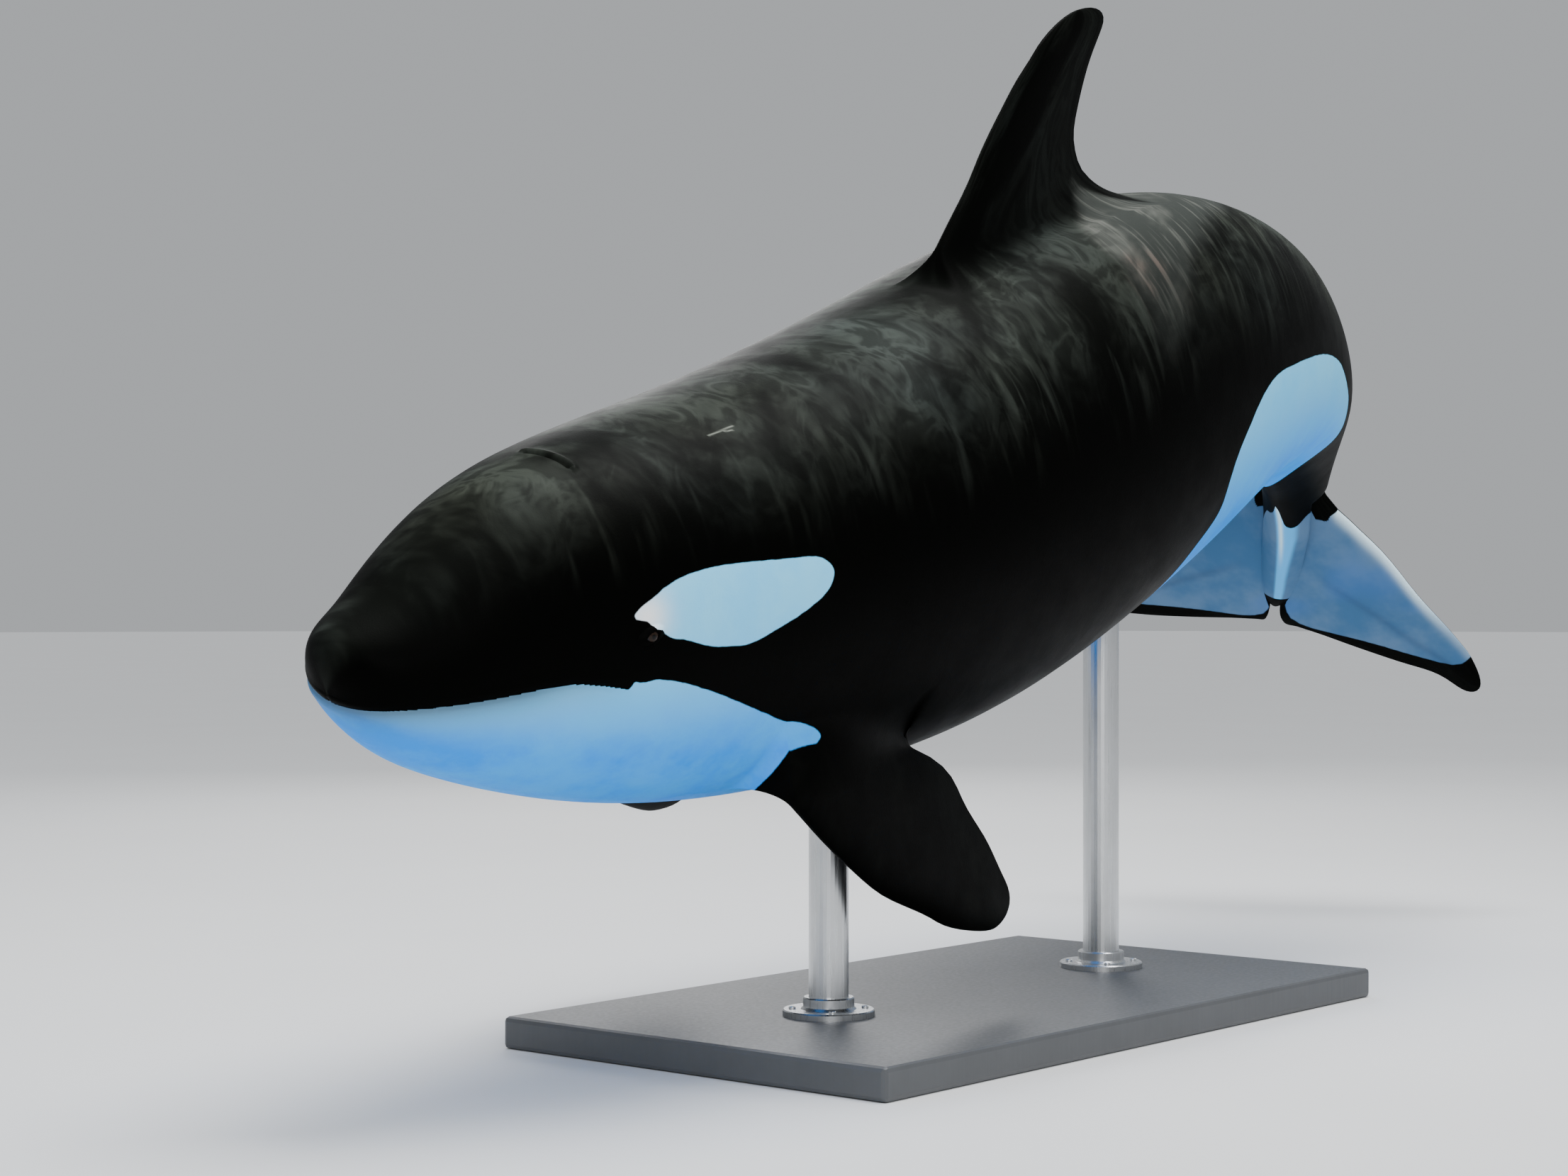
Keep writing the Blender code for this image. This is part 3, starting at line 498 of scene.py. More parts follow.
lip_shares = np.linspace(math.sqrt(LIPS_MEET), math.sqrt(GAPE_EDGE[0][0]), LIP_POINTS) ** 2
lip_edge = np.array([(x, lip_angle(x)) for x in lip_shares])
lip_edge[0, 1] = 180.0
white_edge = np.vstack([lip_edge, GAPE_EDGE, rounded(THROAT_EDGE, THROAT_POINTS)])
white_outline = np.vstack([white_edge, [(0.82, 200.0), (LIPS_MEET, 200.0)]])
patch_edge = np.vstack([rounded(PATCH_EDGE, PATCH_POINTS), PATCH_FRONT])
saddle_edge = rounded(SADDLE_EDGE, SADDLE_POINTS)
saddle_outline = np.vstack([saddle_edge, [(0.62, -20.0), (0.500, -20.0)]])


def signed_edge(points, x, angle, edge, outline):
    """Metres inside (above zero) or outside a marking that both sides have."""
    found = np.zeros(len(points))
    for side in (1, -1):
        mine = angle >= 0 if side > 0 else angle < 0
        line = body_point(edge[:, 0], edge[:, 1] * side)
        away = distance_to(points[mine], line)
        within = inside(outline, x[mine], abs(angle[mine]))
        found[mine] = np.where(within, away, -away)
    return found


class Skin:
    """The skin's mesh while it grows: where each of its points lies on the animal."""

    def __init__(self):
        self.mesh = bmesh.new()
        self.share, self.cosine, self.sine, self.ring, self.column, self.level = (
            self.mesh.verts.layers.float.new(n)
            for n in ("share", "cosine", "sine", "ring", "column", "level"))
        self.owner = self.mesh.verts.layers.int.new("owner")

    def values(self, layer):
        return np.array([v[layer] for v in self.mesh.verts], float)

    def owners(self):
        """The number of each point's limb, and 0 on the body."""
        return np.where(self.values(self.level) > 0, self.values(self.owner), 0)

    def angle(self):
        return np.degrees(np.arctan2(self.values(self.sine), self.values(self.cosine)))

    def grow(self):
        """A body from a sphere, with each limb drawn out of it."""
        mesh = self.mesh
        bmesh.ops.create_uvsphere(mesh, u_segments=COLUMNS, v_segments=RINGS, radius=1.0)
        for vert in mesh.verts:
            ring = round(math.acos(max(-1.0, min(1.0, vert.co.z))) / math.pi * RINGS)
            turn = round(math.atan2(vert.co.y, vert.co.x) / math.tau * COLUMNS)
            vert[self.ring] = ring
            vert[self.column] = (turn + COLUMNS // 2) % COLUMNS - COLUMNS // 2
        for number, limb in enumerate(LIMBS, 1):
            first, last = limb["rings"]
            low, high = sorted(c * limb["side"] * FINER for c in limb["columns"])
            faces = [f for f in mesh.faces if all(
                v[self.level] == 0 and first <= v[self.ring] <= last
                and low <= v[self.column] <= high for v in f.verts)]
            for vert in {v for f in faces for v in f.verts}:
                vert[self.owner] = number
            for step in range(1, LIMB_LEVELS + 1):
                made = bmesh.ops.extrude_face_region(mesh, geom=faces)["geom"]
                bmesh.ops.delete(mesh, geom=faces, context="FACES")
                faces = [g for g in made if isinstance(g, bmesh.types.BMFace)]
                for vert in (g for g in made if isinstance(g, bmesh.types.BMVert)):
                    vert[self.level] = step
        x, angle = ring_share(self.values(self.ring)), self.values(self.column) * 360 / COLUMNS
        at_end = (x < 1e-6) | (x > BODY_END - 1e-6)
        for vert, share, turn, end in zip(mesh.verts, x, np.radians(angle), at_end):
            vert[self.share] = share
            vert[self.cosine] = 0.0 if end else math.cos(turn)
            vert[self.sine] = 0.0 if end else math.sin(turn)
        self.place()

    def limb_rows(self):
        """Each limb with its points' rows, chord, face and level, and where their rim lies."""
        rings, columns, levels = (self.values(n) for n in (self.ring, self.column, self.level))
        owners = self.owners()
        for number, limb in enumerate(LIMBS, 1):
            mine = np.flatnonzero(owners == number)
            a = (rings[mine] - limb["rings"][0]) / (limb["rings"][1] - limb["rings"][0])
            low, high = limb["columns"]
            t = (columns[mine] / FINER * limb["side"] - low) / (high - low) * 2 - 1
            yield (limb, mine, a, t, levels[mine] / LIMB_LEVELS, ring_share(rings[mine]),
                   columns[mine] * 360 / COLUMNS)

    def place(self):
        """Put every point where the animal's shape says."""
        points = body_point(self.values(self.share), self.angle())
        for limb, mine, a, t, level, x, angle in self.limb_rows():
            points[mine] = limb_point(limb, a, t, level, x, angle)
        for vert, point in zip(self.mesh.verts, points):
            vert.co = point

    def points(self):
        return np.array([v.co for v in self.mesh.verts])

    def refine(self, near, size):
        """Halve the faces between near points, as long as they are larger than a size."""
        close = {v for v, n in zip(self.mesh.verts, near) if n}
        faces = [f for f in self.mesh.faces if all(v in close for v in f.verts)
                 and max(e.calc_length() for e in f.edges) > size]
        edges = list({e for f in faces for e in f.edges})
        bmesh.ops.subdivide_edges(self.mesh, edges=edges, cuts=1, use_grid_fill=True)


skin_work = Skin()
skin_work.grow()
lip_line = np.vstack([body_point(lip_edge[::-1, 0], lip_edge[::-1, 1]),
                      body_point(lip_edge[:, 0], -lip_edge[:, 1])])
blow_line = np.array([body_point(x, a) for x, a in rounded(BLOWHOLE, BLOW_POINTS)])
scar_lines = [body_point(*np.array(scar).T) for scar in SCARS]
eye_spots = {side: body_point(EYE_AT[0], EYE_AT[1] * side) for side in (1, -1)}
for line, steps in ((lip_line, LIP_STEPS), (blow_line, BLOW_STEPS),
                    (np.vstack(scar_lines), SCAR_STEPS),
                    (eye_spots[1][None].repeat(2, 0), EYE_STEPS),
                    (eye_spots[-1][None].repeat(2, 0), EYE_STEPS)):
    for reach, size in steps:
        skin_work.refine(distance_to(skin_work.points(), line) < reach, size)
        skin_work.place()


def eye_axes(side):
    """Directions along the eye, up across it and out of it."""
    x, angle = EYE_AT[0], EYE_AT[1] * side
    out = skin_normal(x, angle)
    along = body_point(x + EYE_STEP, angle) - body_point(x - EYE_STEP, angle)
    along = along / np.linalg.norm(along)
    upward = np.cross(along, out) * side
    return along, upward, out


def pressed(distance, shape):
    height, width, middle = shape
    return height * bell(distance, width, middle)


def carve_features(work):
    """Lips, eyelids and the blowhole, pressed into the skin."""
    points, x, angle = work.points(), work.values(work.share), work.angle()
    own = work.owners() == 0
    rows = np.flatnonzero(own & (x < CARVED_UNTIL))
    points, x, angle = points[rows], x[rows], angle[rows]
    normal = skin_normal(x, angle)
    lips = distance_to(points, lip_line)
    behind = smooth_step(*LIPS_FADE, x)
    push = pressed(lips, LIP_GROOVE) * (1 - LIPS_LOSS * behind)
    push += pressed(lips, LIP_SWELL) * (1 - behind)
    blow = distance_to(points, blow_line)
    past = (x - np.interp(angle, *np.array(BLOWHOLE)[:, ::-1].T)) * LENGTH
    rear = smooth_step(-BLOW_TURN, BLOW_TURN, past)
    push += pressed(blow, BLOW_GROOVE)
    push += pressed(blow, BLOW_RIM) + pressed(blow, BLOW_REAR_RIM) * rear
    moved = points + push[:, None] * normal
    for side in (1, -1):
        along, upward, out = eye_axes(side)
        offset = points - eye_spots[side]
        u, w = offset @ along, offset @ upward
        slant = w + EYE_SLANT * u
        far = np.sqrt(np.sum(offset ** 2, -1))
        lid, fold = (np.hypot(u / length, slant / height) for length, height in (
            LID_SIZE, FOLD_SIZE))
        lid, fold = np.exp(-lid ** LID_FLATNESS), bell(fold, FOLD_WIDTH, 1)
        length, height = OPENING_SIZE
        height = height * (1 - OPENING_TAPER * (u / length) ** 2).clip(OPENING_LEAST)
        opening = 1 - smooth_step(*OPENING_EDGE, np.hypot(u / length, slant / height))
        lift = LID_LIFT * lid - FOLD_DEPTH * fold - OPENING_DEPTH * opening
        moved += np.where(far < EYE_REACH, lift, 0)[:, None] * out
    verts = list(work.mesh.verts)
    for row, point in zip(rows, moved):
        verts[row].co = point


def paint_values(work):
    """Markings, painted light and shade, and the skin's own coordinates by point, and metres to the
    nearest edge.
    """
    points, x, angle = work.points(), work.values(work.share), work.angle()
    owners, rim = work.owners(), points.copy()
    lift, span, chord, face, level = (np.zeros(len(points)) for _ in range(5))
    edge_highlight, fold_shade = np.zeros(len(points)), np.zeros(len(points))
    for limb, rows, a, t, share, rim_x, rim_angle in work.limb_rows():
        origin, along, across, out = limb["frame"]
        chord[rows] = (points[rows] - origin) @ along
        span[rows] = (points[rows] - origin) @ out
        face[rows], level[rows] = t, share
        x[rows], angle[rows] = rim_x, rim_angle
        if limb["name"].startswith("flipper"):
            x[rows], angle[rows] = skin_coordinates(points[rows], rim_x)
        rim[rows] = body_point(x[rows], angle[rows])
        lift[rows] = np.linalg.norm(points[rows] - rim[rows], axis=1)
        if limb["name"].startswith("fluke"):
            low, high = limb["span"]
            s = np.clip((span[rows] - low) / (high - low), 0, 1)
            lead, trail = limb["lead_at"](s), limb["trail_at"](s)
            from_lead = chord[rows] - lead
            # Painted highlight along the fluke's leading edge.
            edge_highlight[rows] = (bell(from_lead, FLUKE_GLOW) * smooth_step(*GLOW_IN, s)
                          * (1 - GLOW_LOSS * smooth_step(*GLOW_OUT, s)))
            # Painted shade: a darker band along the middle of the chord.
            fold = from_lead - (FOLD_CHORD + FOLD_DRIFT * s) * (trail - lead)
            fold_shade[rows] = bell(fold, FLUKE_FOLD) * smooth_step(*FOLD_IN, s)
    turn = abs(angle)
    fluke = owners > 3

    white = signed_edge(rim, x, angle, white_edge, white_outline)
    patch = signed_edge(rim, x, angle, patch_edge, patch_edge)
    white = np.minimum(np.maximum(white, patch), WHITE_LIFT - lift)
    white[(owners == 1) | fluke] = OUTSIDE
    saddle = signed_edge(rim, x, angle, saddle_edge, saddle_outline) - lift
    saddle[owners > 1] = OUTSIDE

    flat = np.column_stack([chord, span, np.zeros(len(points))])
    edge = np.array(NOTCH_EDGE + FLUKE_EDGE)
    border = distance_to(flat[fluke], np.column_stack([edge, np.zeros(len(edge))]))
    outline = np.vstack([edge, [(-1.0, edge[-1, 1]), (-1.0, edge[0, 1])]])
    border = np.where(inside(outline, chord[fluke], span[fluke]), border, -border)
    pale, on_fluke = np.zeros(len(points)), np.zeros(len(points))
    for side, near_side in ((1, angle >= 0), (-1, angle < 0)):
        black_to = np.interp(turn, *np.transpose(SCALLOPS[side]))
        black_in = np.interp(span, *np.transpose(FLUKE_SCALLOPS[side]))
        pale = np.where(near_side, (x - black_to) * LENGTH, pale)
        on_fluke = np.where(near_side, chord - black_in, on_fluke)
    pale = np.where(turn < 90, SIDE_OUTSIDE, np.minimum(pale, (PALE_END - x) * LENGTH))
    near_root = 1 - smooth_step(*FLUKE_ROOT, level[fluke])
    rim_pale = np.minimum(pale[fluke] + (x[fluke] > TAIL_END) * TAIL_END_LIFT, border)
    pale[fluke] = np.minimum(on_fluke[fluke], border) * (1 - near_root) + rim_pale * near_root
    below = ~fluke | (face > 0)
    edges = np.minimum(abs(white), np.where(below, abs(pale), 1.0))
    face = face * FACE_BORDER
    under = np.minimum(pale, face + UNDER_MORE)
    pale = np.where(fluke, np.where(face > 0, under, face - UPPER_LESS), pale)
    # Painted reflection along the keel: a brighter strip beside it and a bright line near its
    # middle.
    strip_edge = np.interp(x, *np.transpose(KEEL_EDGE))
    round_left = np.where(angle < 0, 360 + angle, angle)
    keel = (smooth_step(strip_edge - KEEL_SOFT, strip_edge + KEEL_SOFT, round_left)
            * (1 - smooth_step(*KEEL_RIGHT, round_left)) * (owners == 0))
    keel_reflection = (bell(round_left, RIDGE_WIDTH, RIDGE_AT) * (1 - smooth_step(*RIDGE_END, x))
             * (owners == 0))

    sizes = size_at(np.sqrt(np.clip(x, 0, 1)))
    around = np.radians(angle) * (sizes[:, 0] + sizes[:, 2]) / 2
    lean = STRIPE_LEAN * np.hypot(around, STRIPE_EASE)
    lay = np.column_stack([x * LENGTH + lean, around, lift])
    # Where the painted dappled light falls: strongest on the top of the back, fading down the
    # sides, and weak on the limbs.
    haze_edge = np.interp(x, HAZE_AT, HAZE_EDGE)
    haze = 1 - smooth_step(HAZE_TOP, haze_edge, turn)
    light_streaks = smooth_step(*STRIPES_TOP, turn) * (
        1 - smooth_step(haze_edge - STRIPES_RISE, haze_edge + STRIPES_FALL, turn))
    on_limb = smooth_step(0.0, LIMB_BLEND, lift) * (owners > 0)
    haze = haze * (1 - on_limb) + np.where(owners == 1, FIN_HAZE, LIMB_HAZE) * on_limb
    tip = sum(bell(np.linalg.norm(points - body_point(PATCH_TIP[0], PATCH_TIP[1] * side), axis=1),
                   PATCH_TIP_RADIUS) for side in (1, -1))
    # Painted shade along the lip line at the front of the head.
    lips = (np.exp(-distance_to(points, lip_line) / LIP_SHADE_REACH)
            * (1 - smooth_step(*LIP_SHADE_END, x)))
    scar = SCAR_STRENGTH * sum(bell(distance_to(points, line), SCAR_WIDTH) for line in scar_lines)
    values = {"white_edge": white, "saddle_edge": saddle, "pale_edge": pale, "haze": haze,
              "light_streaks": light_streaks * (1 - on_limb), "rear": smooth_step(*REAR_FROM, x),
              "turn": turn / 180, "edge_highlight": edge_highlight, "fold_shade": fold_shade, "keel": keel, "keel_reflection": keel_reflection,
              "tip": tip, "lips": lips, "scar": np.clip(scar, 0, 1)}
    return values, lay, edges


def put(name, data):
    """A new object in the scene."""
    made = bpy.data.objects.new(name, data)
    bpy.context.scene.collection.objects.link(made)
    return made


def mesh_of(name, work, material):
    """The finished mesh with its material."""
    data = bpy.data.meshes.new(name)
    work.to_mesh(data)
    work.free()
    data.materials.append(material)
    return data


def add_piece(name, work, material, sharp=None):
    """A piece of the object; past sharp degrees its edges stay hard."""
    bmesh.ops.recalc_face_normals(work, faces=work.faces)
    data = mesh_of(name, work, material)
    data.shade_smooth()
    if sharp:
        data.set_sharp_from_angle(angle=math.radians(sharp))
    made = put(name, data)
    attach(made, "root")
    return made


def record(made, name, numbers, kind="FLOAT", part="value"):
    """Keep numbers by point as an attribute of a piece."""
    numbers = np.asarray(numbers, np.float32).ravel()
    made.data.attributes.new(name, kind, "POINT").data.foreach_set(part, numbers)


def shader_of(name):
    material = bpy.data.materials.new(name)
    material.use_nodes = True
    return material, material.node_tree, material.node_tree.nodes["Principled BSDF"]


def feed(tree, node, given):
    """Give inputs of a node a link or a plain value each."""
    for key, value in given.items():
        if isinstance(value, bpy.types.NodeSocket):
            tree.links.new(value, node.inputs[key])
        else:
            node.inputs[key].default_value = value


def add(tree, kind, given=None, **settings):
    """A node with its settings and what its inputs are given."""
    made = tree.nodes.new(kind)
    for key, value in settings.items():
        setattr(made, key, value)
    feed(tree, made, given or {})
    return made


def attribute(tree, name, output="Fac"):
    return add(tree, "ShaderNodeAttribute", attribute_name=name).outputs[output]


def object_place(tree):
    return add(tree, "ShaderNodeTexCoord").outputs["Object"]


def bump(tree, height, strength, distance):
    return add(tree, "ShaderNodeBump", {
        "Strength": strength, "Distance": distance, "Height": height}).outputs["Normal"]


def remap(tree, value, low, high, to_low=0.0, to_high=1.0, smooth=True):
    kind = "SMOOTHSTEP" if smooth else "LINEAR"
    return add(tree, "ShaderNodeMapRange", {
        "Value": value, "From Min": low, "From Max": high, "To Min": to_low, "To Max": to_high},
        interpolation_type=kind).outputs["Result"]


def calculate(tree, operation, *values):
    return add(tree, "ShaderNodeMath", dict(enumerate(values)), operation=operation).outputs[0]


def mix(tree, share, first, second):
    """A blend of two colours, each a socket or red, green and blue."""
    first, second = (c if isinstance(c, bpy.types.NodeSocket) else (*c, 1)
                     for c in (first, second))
    return add(tree, "ShaderNodeMix", {0: share, 6: first, 7: second},
               data_type="RGBA").outputs[2]


def noise(tree, vector, scale, detail=3.0, roughness=0.5, distortion=0.0):
    return add(tree, "ShaderNodeTexNoise", {
        "Vector": vector, "Scale": scale, "Detail": detail, "Roughness": roughness,
        "Distortion": distortion}).outputs["Fac"]


def stretched(tree, vector, scale):
    return add(tree, "ShaderNodeMapping", {"Vector": vector, "Scale": scale}).outputs["Vector"]


def skin_material():
    """Black, white and grey skin, with painted dappled light along the back and painted light and
    shade on the white and the flukes.
    """
    material, tree, shader = shader_of("orca_skin")
    place, lay = object_place(tree), attribute(tree, "lay", "Vector")
    haze, light_streaks, rear, white, saddle, pale, turn = (attribute(tree, name) for name in (
        "haze", "light_streaks", "rear", "white_edge", "saddle_edge", "pale_edge", "turn"))

    wander = calculate(tree, "MULTIPLY_ADD", noise(tree, place, 38.0, 2.0), 0.004, -0.002)
    white_mask = remap(tree, calculate(tree, "ADD", white, wander), -0.0016, 0.0016)
    rough_edge = calculate(tree, "MULTIPLY_ADD", noise(tree, place, 9.0, 4.0), 0.10, -0.05)
    saddle_mask = remap(tree, calculate(tree, "ADD", saddle, rough_edge), -0.035, 0.045)
    pale_mask = remap(tree, calculate(tree, "ADD", pale, wander), -0.002, 0.003)

    def laid(along, across, *settings):
        return noise(tree, stretched(tree, lay, (along, across, across)), *settings)

    # Painted dappled light: soft clouds of light, bright threads in them, streaks down the sides,
    # and a slight lift all over the top of the back.
    cloud = remap(tree, laid(1.0, 0.7, 3.2, 4.0, 0.6, 0.5), 0.40, 0.66)
    thread = laid(1.25, 0.75, 7.5, 3.0, 0.55, 1.3)
    thread = calculate(tree, "ABSOLUTE", calculate(tree, "SUBTRACT", thread, 0.5))
    thread = remap(tree, thread, 0.13, 0.0)
    streak = remap(tree, laid(1.0, 0.16, 21.0, 2.5, 0.5, 0.5), 0.50, 0.76)
    line = remap(tree, laid(1.0, 0.085, 48.0, 2.0, 0.5, 0.35), 0.50, 0.74)
    mottled_light = calculate(tree, "MULTIPLY", cloud, calculate(tree, "MULTIPLY_ADD", thread, 0.55, 0.35))
    mottled_light = calculate(tree, "MULTIPLY", mottled_light, haze)
    breaks = remap(tree, laid(1.0, 0.5, 2.6, 3.0, 0.6), 0.36, 0.64)
    side = calculate(tree, "MULTIPLY", calculate(tree, "MULTIPLY", streak, breaks), light_streaks)
    fine = calculate(tree, "MULTIPLY", calculate(tree, "MULTIPLY", line, rear), haze)
    dappled_light = calculate(tree, "MULTIPLY_ADD", side, 0.38, calculate(tree, "MULTIPLY", mottled_light, 0.70))
    dappled_light = calculate(tree, "MULTIPLY_ADD", fine, 0.35, dappled_light)
    dappled_light = calculate(tree, "MULTIPLY_ADD", haze, 0.06, dappled_light)

    # The painted dappled light turns the black olive.
    tint = noise(tree, place, 2.3, 2.0)
    olive = mix(tree, tint, (0.052, 0.056, 0.038), (0.058, 0.074, 0.072))
    black = mix(tree, dappled_light, (0.0008, 0.0009, 0.0007), olive)
    # The saddle patch is a real grey marking. Here it is painted mostly as highlights of the
    # dappled light, with warm highlights in places, and it fades down the sides.
    warm_highlight = remap(tree, noise(tree, place, 3.4, 3.0), 0.52, 0.68)
    lit = mix(tree, warm_highlight, (0.22, 0.225, 0.20), (0.32, 0.215, 0.180))
    glint = calculate(tree, "MULTIPLY_ADD", line, 0.30, calculate(tree, "MULTIPLY", mottled_light, 0.5))
    grey = mix(tree, glint, (0.030, 0.034, 0.031), lit)
    fade = remap(tree, turn, 0.08, 0.34, 1.0, 0.16)
    colour = mix(tree, calculate(tree, "MULTIPLY", saddle_mask, fade), black, grey)
    colour = mix(tree, attribute(tree, "scar"), colour, (0.26, 0.28, 0.24))

    # The white is painted in the blue of the water's light, with painted shade making it a deeper,
    # darker blue further down the sides, and random blue patches in it.
    under = remap(tree, turn, 0.42, 0.70)
    snow = mix(tree, under, (0.22, 0.68, 1.0), (0.001, 0.29, 0.98))
    smear = remap(tree, noise(tree, place, 5.0, 5.0, 0.68), 0.35, 0.70, 0.0, 0.40)
    snow = mix(tree, smear, snow, (0.10, 0.56, 1.0))
    # Painted shade along the lip line at the front.
    snow = mix(tree, attribute(tree, "lips"), snow, (0.095, 0.150, 0.20))
    snow = mix(tree, attribute(tree, "tip"), snow, (0.95, 0.98, 1.0))
    colour = mix(tree, white_mask, colour, snow)

    haze_blue = remap(tree, noise(tree, place, 3.6, 4.0, 0.6), 0.38, 0.66)
    slate = mix(tree, haze_blue, (0.052, 0.140, 0.275), (0.105, 0.195, 0.330))
    slate = mix(tree, remap(tree, noise(tree, place, 2.4, 2.0), 0.56, 0.70, 0.0, 0.4), slate,
                (0.055, 0.165, 0.440))
    # Painted shade: a darker band along the middle of the chord.
    slate = mix(tree, calculate(tree, "MULTIPLY", attribute(tree, "fold_shade"), 0.40),
                slate, (0.035, 0.075, 0.150))
    # Painted highlight along the leading edge.
    slate = mix(tree, attribute(tree, "edge_highlight"), slate, (0.66, 0.84, 0.92))
    # Painted reflection along the keel: a brighter strip and a bright line.
    slate = mix(tree, attribute(tree, "keel"), slate, (0.10, 0.46, 0.90))
    slate = mix(tree, attribute(tree, "keel_reflection"), slate, (0.62, 0.88, 0.98))
    colour = mix(tree, pale_mask, colour, slate)

    grain = noise(tree, place, 220.0, 3.0, 0.6)
    rough = remap(tree, noise(tree, place, 9.0, 4.0, 0.65), 0.2, 0.8, 0.38, 0.52, smooth=False)
    ripple = laid(1.0, 0.35, 26.0)
    height = calculate(tree, "MULTIPLY_ADD", ripple, 0.6, grain)
    feed(tree, shader, {"Base Color": colour, "Roughness": rough, "Specular IOR Level": 0.012,
                        "Normal": bump(tree, height, 0.12, 0.004)})
    return material


def eye_material():
    material, tree, shader = shader_of("orca_eye")
    iris = attribute(tree, "iris")
    place = object_place(tree)
    fleck = noise(tree, place, 320.0, 4.0, 0.7)
    brown = mix(tree, fleck, (0.006, 0.003, 0.002), (0.022, 0.012, 0.007))
    ring = mix(tree, remap(tree, iris, 0.0105, 0.0135), brown, (0.006, 0.006, 0.007))
    pupil = mix(tree, remap(tree, iris, 0.0045, 0.0056), (0.001, 0.001, 0.001), ring)
    rough = remap(tree, fleck, 0.3, 0.7, 0.14, 0.20)
    feed(tree, shader, {"Base Color": pupil, "Roughness": rough, "Specular IOR Level": 0.15})
    return material


def metal_grain():
    """Fine lines and wear that the stand's painted and bare metal share."""
    group = bpy.data.node_groups.new("metal_grain", "ShaderNodeTree")
    for name in ("Lines", "Fine"):
        group.interface.new_socket(name, in_out="INPUT", socket_type="NodeSocketFloat")
    for name in ("Grain", "Cloud"):
        group.interface.new_socket(name, in_out="OUTPUT", socket_type="NodeSocketFloat")
    enter, leave = group.nodes.new("NodeGroupInput"), group.nodes.new("NodeGroupOutput")
    place = object_place(group)
    grain = noise(group, stretched(group, place, (1.0, 1.0, 0.02)), enter.outputs["Lines"])
    cloud = noise(group, place, enter.outputs["Fine"], 5.0, 0.65)
    feed(group, leave, {"Grain": grain, "Cloud": cloud})
    return group


def metal_material(name, grain_group, dark, light, metallic, roughness, lines, strength):
    material, tree, shader = shader_of(name)
    shared = add(tree, "ShaderNodeGroup", {"Lines": lines, "Fine": 9.0}, node_tree=grain_group)
    grain, cloud = shared.outputs["Grain"], shared.outputs["Cloud"]
    rough = remap(tree, grain, 0.2, 0.8, roughness - 0.07, roughness + 0.07, smooth=False)
    feed(tree, shader, {"Base Color": mix(tree, cloud, dark, light), "Roughness": rough,
                        "Metallic": metallic, "Normal": bump(tree, grain, strength, 0.001)})
    return material


def rubber_material():
    material, tree, shader = shader_of("black_rubber")
    place = object_place(tree)
    speck = noise(tree, place, 160.0, 4.0, 0.6)
    colour = mix(tree, speck, (0.010, 0.010, 0.011), (0.030, 0.030, 0.031))
    rough = remap(tree, speck, 0.3, 0.7, 0.60, 0.78)
    feed(tree, shader, {"Base Color": colour, "Roughness": rough,
                        "Normal": bump(tree, speck, 0.2, 0.0006)})
    return material


def floor_material():
    material, tree, shader = shader_of("pale_floor")
    place = object_place(tree)
    cloud = noise(tree, place, 0.8, 4.0, 0.6)
    colour = mix(tree, cloud, (0.70, 0.71, 0.72), (0.74, 0.75, 0.76))
    feed(tree, shader, {"Base Color": colour, "Roughness": 0.75})
    return material


for reach, size in MARKING_STEPS:
    skin_work.refine(paint_values(skin_work)[2] < reach, size)
    skin_work.place()
carve_features(skin_work)
values, lay, _ = paint_values(skin_work)
skin = add_piece("orca_skin", skin_work.mesh, skin_material())
for name, numbers in values.items():
    record(skin, name, numbers)
record(skin, "lay", lay, "FLOAT_VECTOR", "vector")
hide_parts("head", "lower_jaw", "chest", "trunk", "tail_stock", "fluke_left",
            "fluke_right", "dorsal_fin", "flipper_left", "flipper_right")

orca_eye = eye_material()
for side, name in ((1, "left"), (-1, "right")):
    along, upward, out = eye_axes(side)
    middle = eye_spots[side] - out * EYE_DEPTH
    turn = Matrix([list(a) for a in (along, np.cross(out, along), out)]).transposed().to_4x4()
    ball = bmesh.new()
    bmesh.ops.create_uvsphere(ball, u_segments=48, v_segments=32, radius=EYE_RADIUS)
    iris_at = [math.hypot(v.co.x, v.co.y) if v.co.z > 0 else EYE_RADIUS for v in ball.verts]
    for vert in ball.verts:
        bulge = EYE_BULGE * math.exp(-(math.hypot(vert.co.x, vert.co.y) / BULGE_RADIUS) ** 4)
        vert.co += vert.co.normalized() * (bulge if vert.co.z > 0 else 0.0)
    bmesh.ops.transform(ball, matrix=Matrix.Translation(Vector(middle)) @ turn, verts=ball.verts)
    eyeball = add_piece("eyeball_" + name, ball, orca_eye)
    record(eyeball, "iris", iris_at)
    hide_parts("eye_" + name)

# The stand: its solids get their finish, and each rod a foot plate and a seal.
HARD_EDGE, TURNED_STEPS = 30, 64
grain_group = metal_grain()
painted = metal_material("painted_steel", grain_group, (0.055, 0.058, 0.062), (0.080, 0.084, 0.090),
                         0.0, 0.46, 90.0, 0.05)
brushed = metal_material("brushed_steel", grain_group, (0.52, 0.53, 0.54), (0.66, 0.67, 0.68),
                         1.0, 0.30, 240.0, 0.10)
rubber = rubber_material()
for name, material in (("stand_base", painted), ("stand_rod_front", brushed),
                       ("stand_rod_rear", brushed)):
    node = frame["nodes"][name]
    for slot in node.material_slots:
        slot.material = material
    if not node.material_slots:
        node.data.materials.append(material)
    node.data.shade_smooth()
    node.data.set_sharp_from_angle(angle=math.radians(HARD_EDGE))


def lathe(mesh, profile, centre):
    """A turned ring from (radius, height) pairs about an upright axis."""
    verts = [mesh.verts.new((centre[0] + r, centre[1], z)) for r, z in profile]
    edges = [mesh.edges.new((a, b)) for a, b in zip(verts, verts[1:] + verts[:1])]
    bmesh.ops.spin(mesh, geom=verts + edges, cent=(*centre, 0.0), axis=(0, 0, 1),
                   angle=math.tau, steps=TURNED_STEPS, use_merge=True)


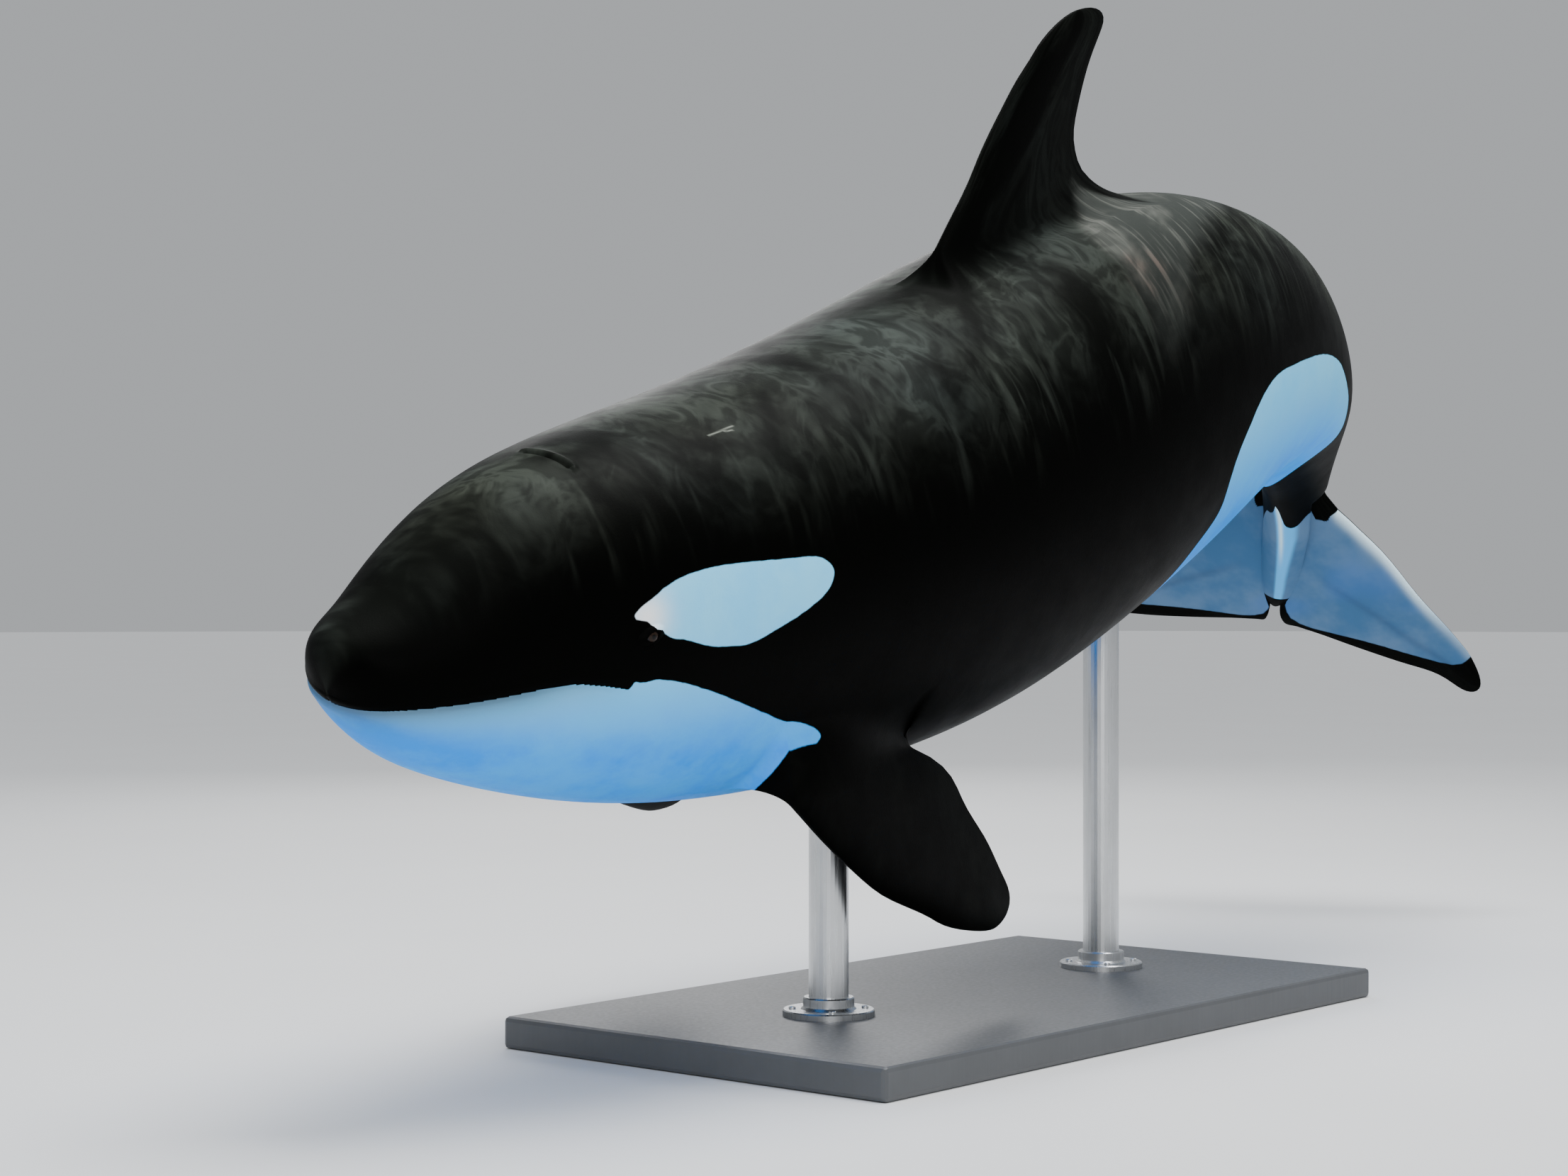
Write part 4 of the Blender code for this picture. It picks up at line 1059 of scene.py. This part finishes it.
FOOT_RADIUS, FOOT_HEIGHT, FOOT_BEVEL = 0.115, 0.016, 0.003
COLLAR_RADIUS, COLLAR_TOP, COLLAR_FLARE, ROD_GAP = 0.064, 0.046, 0.006, 0.0004
SCREW_CIRCLE, SCREW_RADIUS, SCREW_HEIGHT = 0.091, 0.009, 0.006
SCREW_SUNK, SCREW_BEVEL, SOCKET_INSET, SOCKET_DEPTH = 0.0005, 0.0012, 0.45, 0.6
SEAL_CIRCLE, SEAL_RADIUS, SEAL_STEPS, SEAL_DROP = ROD_RADIUS * 1.04, 0.009, 12, 0.003
BELLY_SEEN_FROM = BASE_TOP + 0.05
surface = BVHTree.FromObject(skin, bpy.context.evaluated_depsgraph_get())
for name in ("front", "rear"):
    low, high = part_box("stand_rod_" + name)
    centre = ((low.x + high.x) / 2, (low.y + high.y) / 2)
    foot = bmesh.new()
    inner, top = ROD_RADIUS + ROD_GAP, BASE_TOP + FOOT_HEIGHT
    lathe(foot, ((inner, BASE_TOP), (FOOT_RADIUS, BASE_TOP), (FOOT_RADIUS, top - FOOT_BEVEL),
                 (FOOT_RADIUS - FOOT_BEVEL, top), (COLLAR_RADIUS + COLLAR_FLARE, top),
                 (COLLAR_RADIUS, top + COLLAR_FLARE),
                 (COLLAR_RADIUS, BASE_TOP + COLLAR_TOP - FOOT_BEVEL),
                 (COLLAR_RADIUS - FOOT_BEVEL, BASE_TOP + COLLAR_TOP),
                 (inner, BASE_TOP + COLLAR_TOP)), centre)
    add_piece("rod_foot_" + name, foot, brushed, HARD_EDGE)
    screws = bmesh.new()
    for k in range(4):
        spot = Matrix.Rotation(math.radians(45 + 90 * k), 4, "Z") @ Vector((SCREW_CIRCLE, 0, 0))
        base = Vector((*centre, top + SCREW_HEIGHT / 2 - SCREW_SUNK)) + spot
        made = bmesh.ops.create_cone(
            screws, cap_ends=True, segments=24, radius1=SCREW_RADIUS, radius2=SCREW_RADIUS,
            depth=SCREW_HEIGHT, matrix=Matrix.Translation(base))
        head = max((f for v in made["verts"] for f in v.link_faces),
                   key=lambda f: f.calc_center_median().z)
        rim = list(head.edges)
        bmesh.ops.inset_individual(screws, faces=[head], thickness=SCREW_RADIUS * SOCKET_INSET)
        bmesh.ops.translate(screws, verts=head.verts, vec=(0, 0, -SCREW_HEIGHT * SOCKET_DEPTH))
        bmesh.ops.bevel(screws, geom=rim, offset=SCREW_BEVEL, affect="EDGES", segments=2,
                        profile=0.5, material=-1)
    add_piece("rod_screws_" + name, screws, brushed, HARD_EDGE)
    ring = []
    for k in range(TURNED_STEPS):
        turn = math.tau * k / TURNED_STEPS
        spot = Vector((centre[0] + SEAL_CIRCLE * math.cos(turn),
                       centre[1] + SEAL_CIRCLE * math.sin(turn), BELLY_SEEN_FROM))
        ring.append(surface.ray_cast(spot, Vector((0, 0, 1)))[0])
    seal = bmesh.new()
    around = [math.tau * j / SEAL_STEPS for j in range(SEAL_STEPS)]
    lathe(seal, [(SEAL_CIRCLE + SEAL_RADIUS * math.cos(a), SEAL_RADIUS * math.sin(a))
                 for a in around], centre)
    for vert in seal.verts:
        turn = math.atan2(vert.co.y - centre[1], vert.co.x - centre[0]) % math.tau
        k = turn / math.tau * TURNED_STEPS
        a, b = ring[int(k) % TURNED_STEPS], ring[(int(k) + 1) % TURNED_STEPS]
        vert.co.z += a.z + (b.z - a.z) * (k - int(k)) - SEAL_DROP
    add_piece("rod_seal_" + name, seal, rubber)

# Floor, light and camera.
FLOOR_RADIUS = 70.0
disc = bmesh.new()
bmesh.ops.create_circle(disc, cap_ends=True, segments=96, radius=FLOOR_RADIUS)
floor = put("floor", mesh_of("floor", disc, floor_material()))


def soft_light(name, spot, aim, size, power):
    data = bpy.data.lights.new(name, "AREA")
    data.shape, data.size, data.energy = "DISK", size, power
    made = put(name, data)
    made.location = spot
    made.rotation_euler = (Vector(aim) - Vector(spot)).to_track_quat("-Z", "Y").to_euler()


soft_light("overhead", (0.4, -0.6, 7.5), (0.2, 0, 1.2), 5.0, 700)
soft_light("front_left", (-7.5, -7.0, 4.5), (-0.4, 0, 1.2), 4.0, 380)
soft_light("behind", (6.0, 6.5, 5.0), (0.6, 0, 1.4), 4.0, 220)
sun = bpy.data.lights.new("even_light", "SUN")
sun.energy, sun.angle = 1.3, math.radians(50)
put("even_light", sun).rotation_euler = (math.radians(14), math.radians(-10), 0)
world = bpy.data.worlds.new("pale_surround")
bpy.context.scene.world = world
world.use_nodes = True
feed(world.node_tree, world.node_tree.nodes["Background"],
     {"Color": (0.88, 0.91, 0.94, 1), "Strength": 0.50})

CAMERA_SPOT = (-6.1423, -4.5392, 1.141)
CAMERA_TURN = (math.radians(90), 0.0, math.radians(-50))
FOCAL_PIXELS, IMAGE_WIDTH, SENSOR = 4082.175, 2212, 36.0
lens = bpy.data.cameras.new("camera")
lens.sensor_width, lens.lens = SENSOR, FOCAL_PIXELS / IMAGE_WIDTH * SENSOR
camera = put("camera", lens)
camera.location, camera.rotation_euler = CAMERA_SPOT, CAMERA_TURN
bpy.context.scene.camera = camera
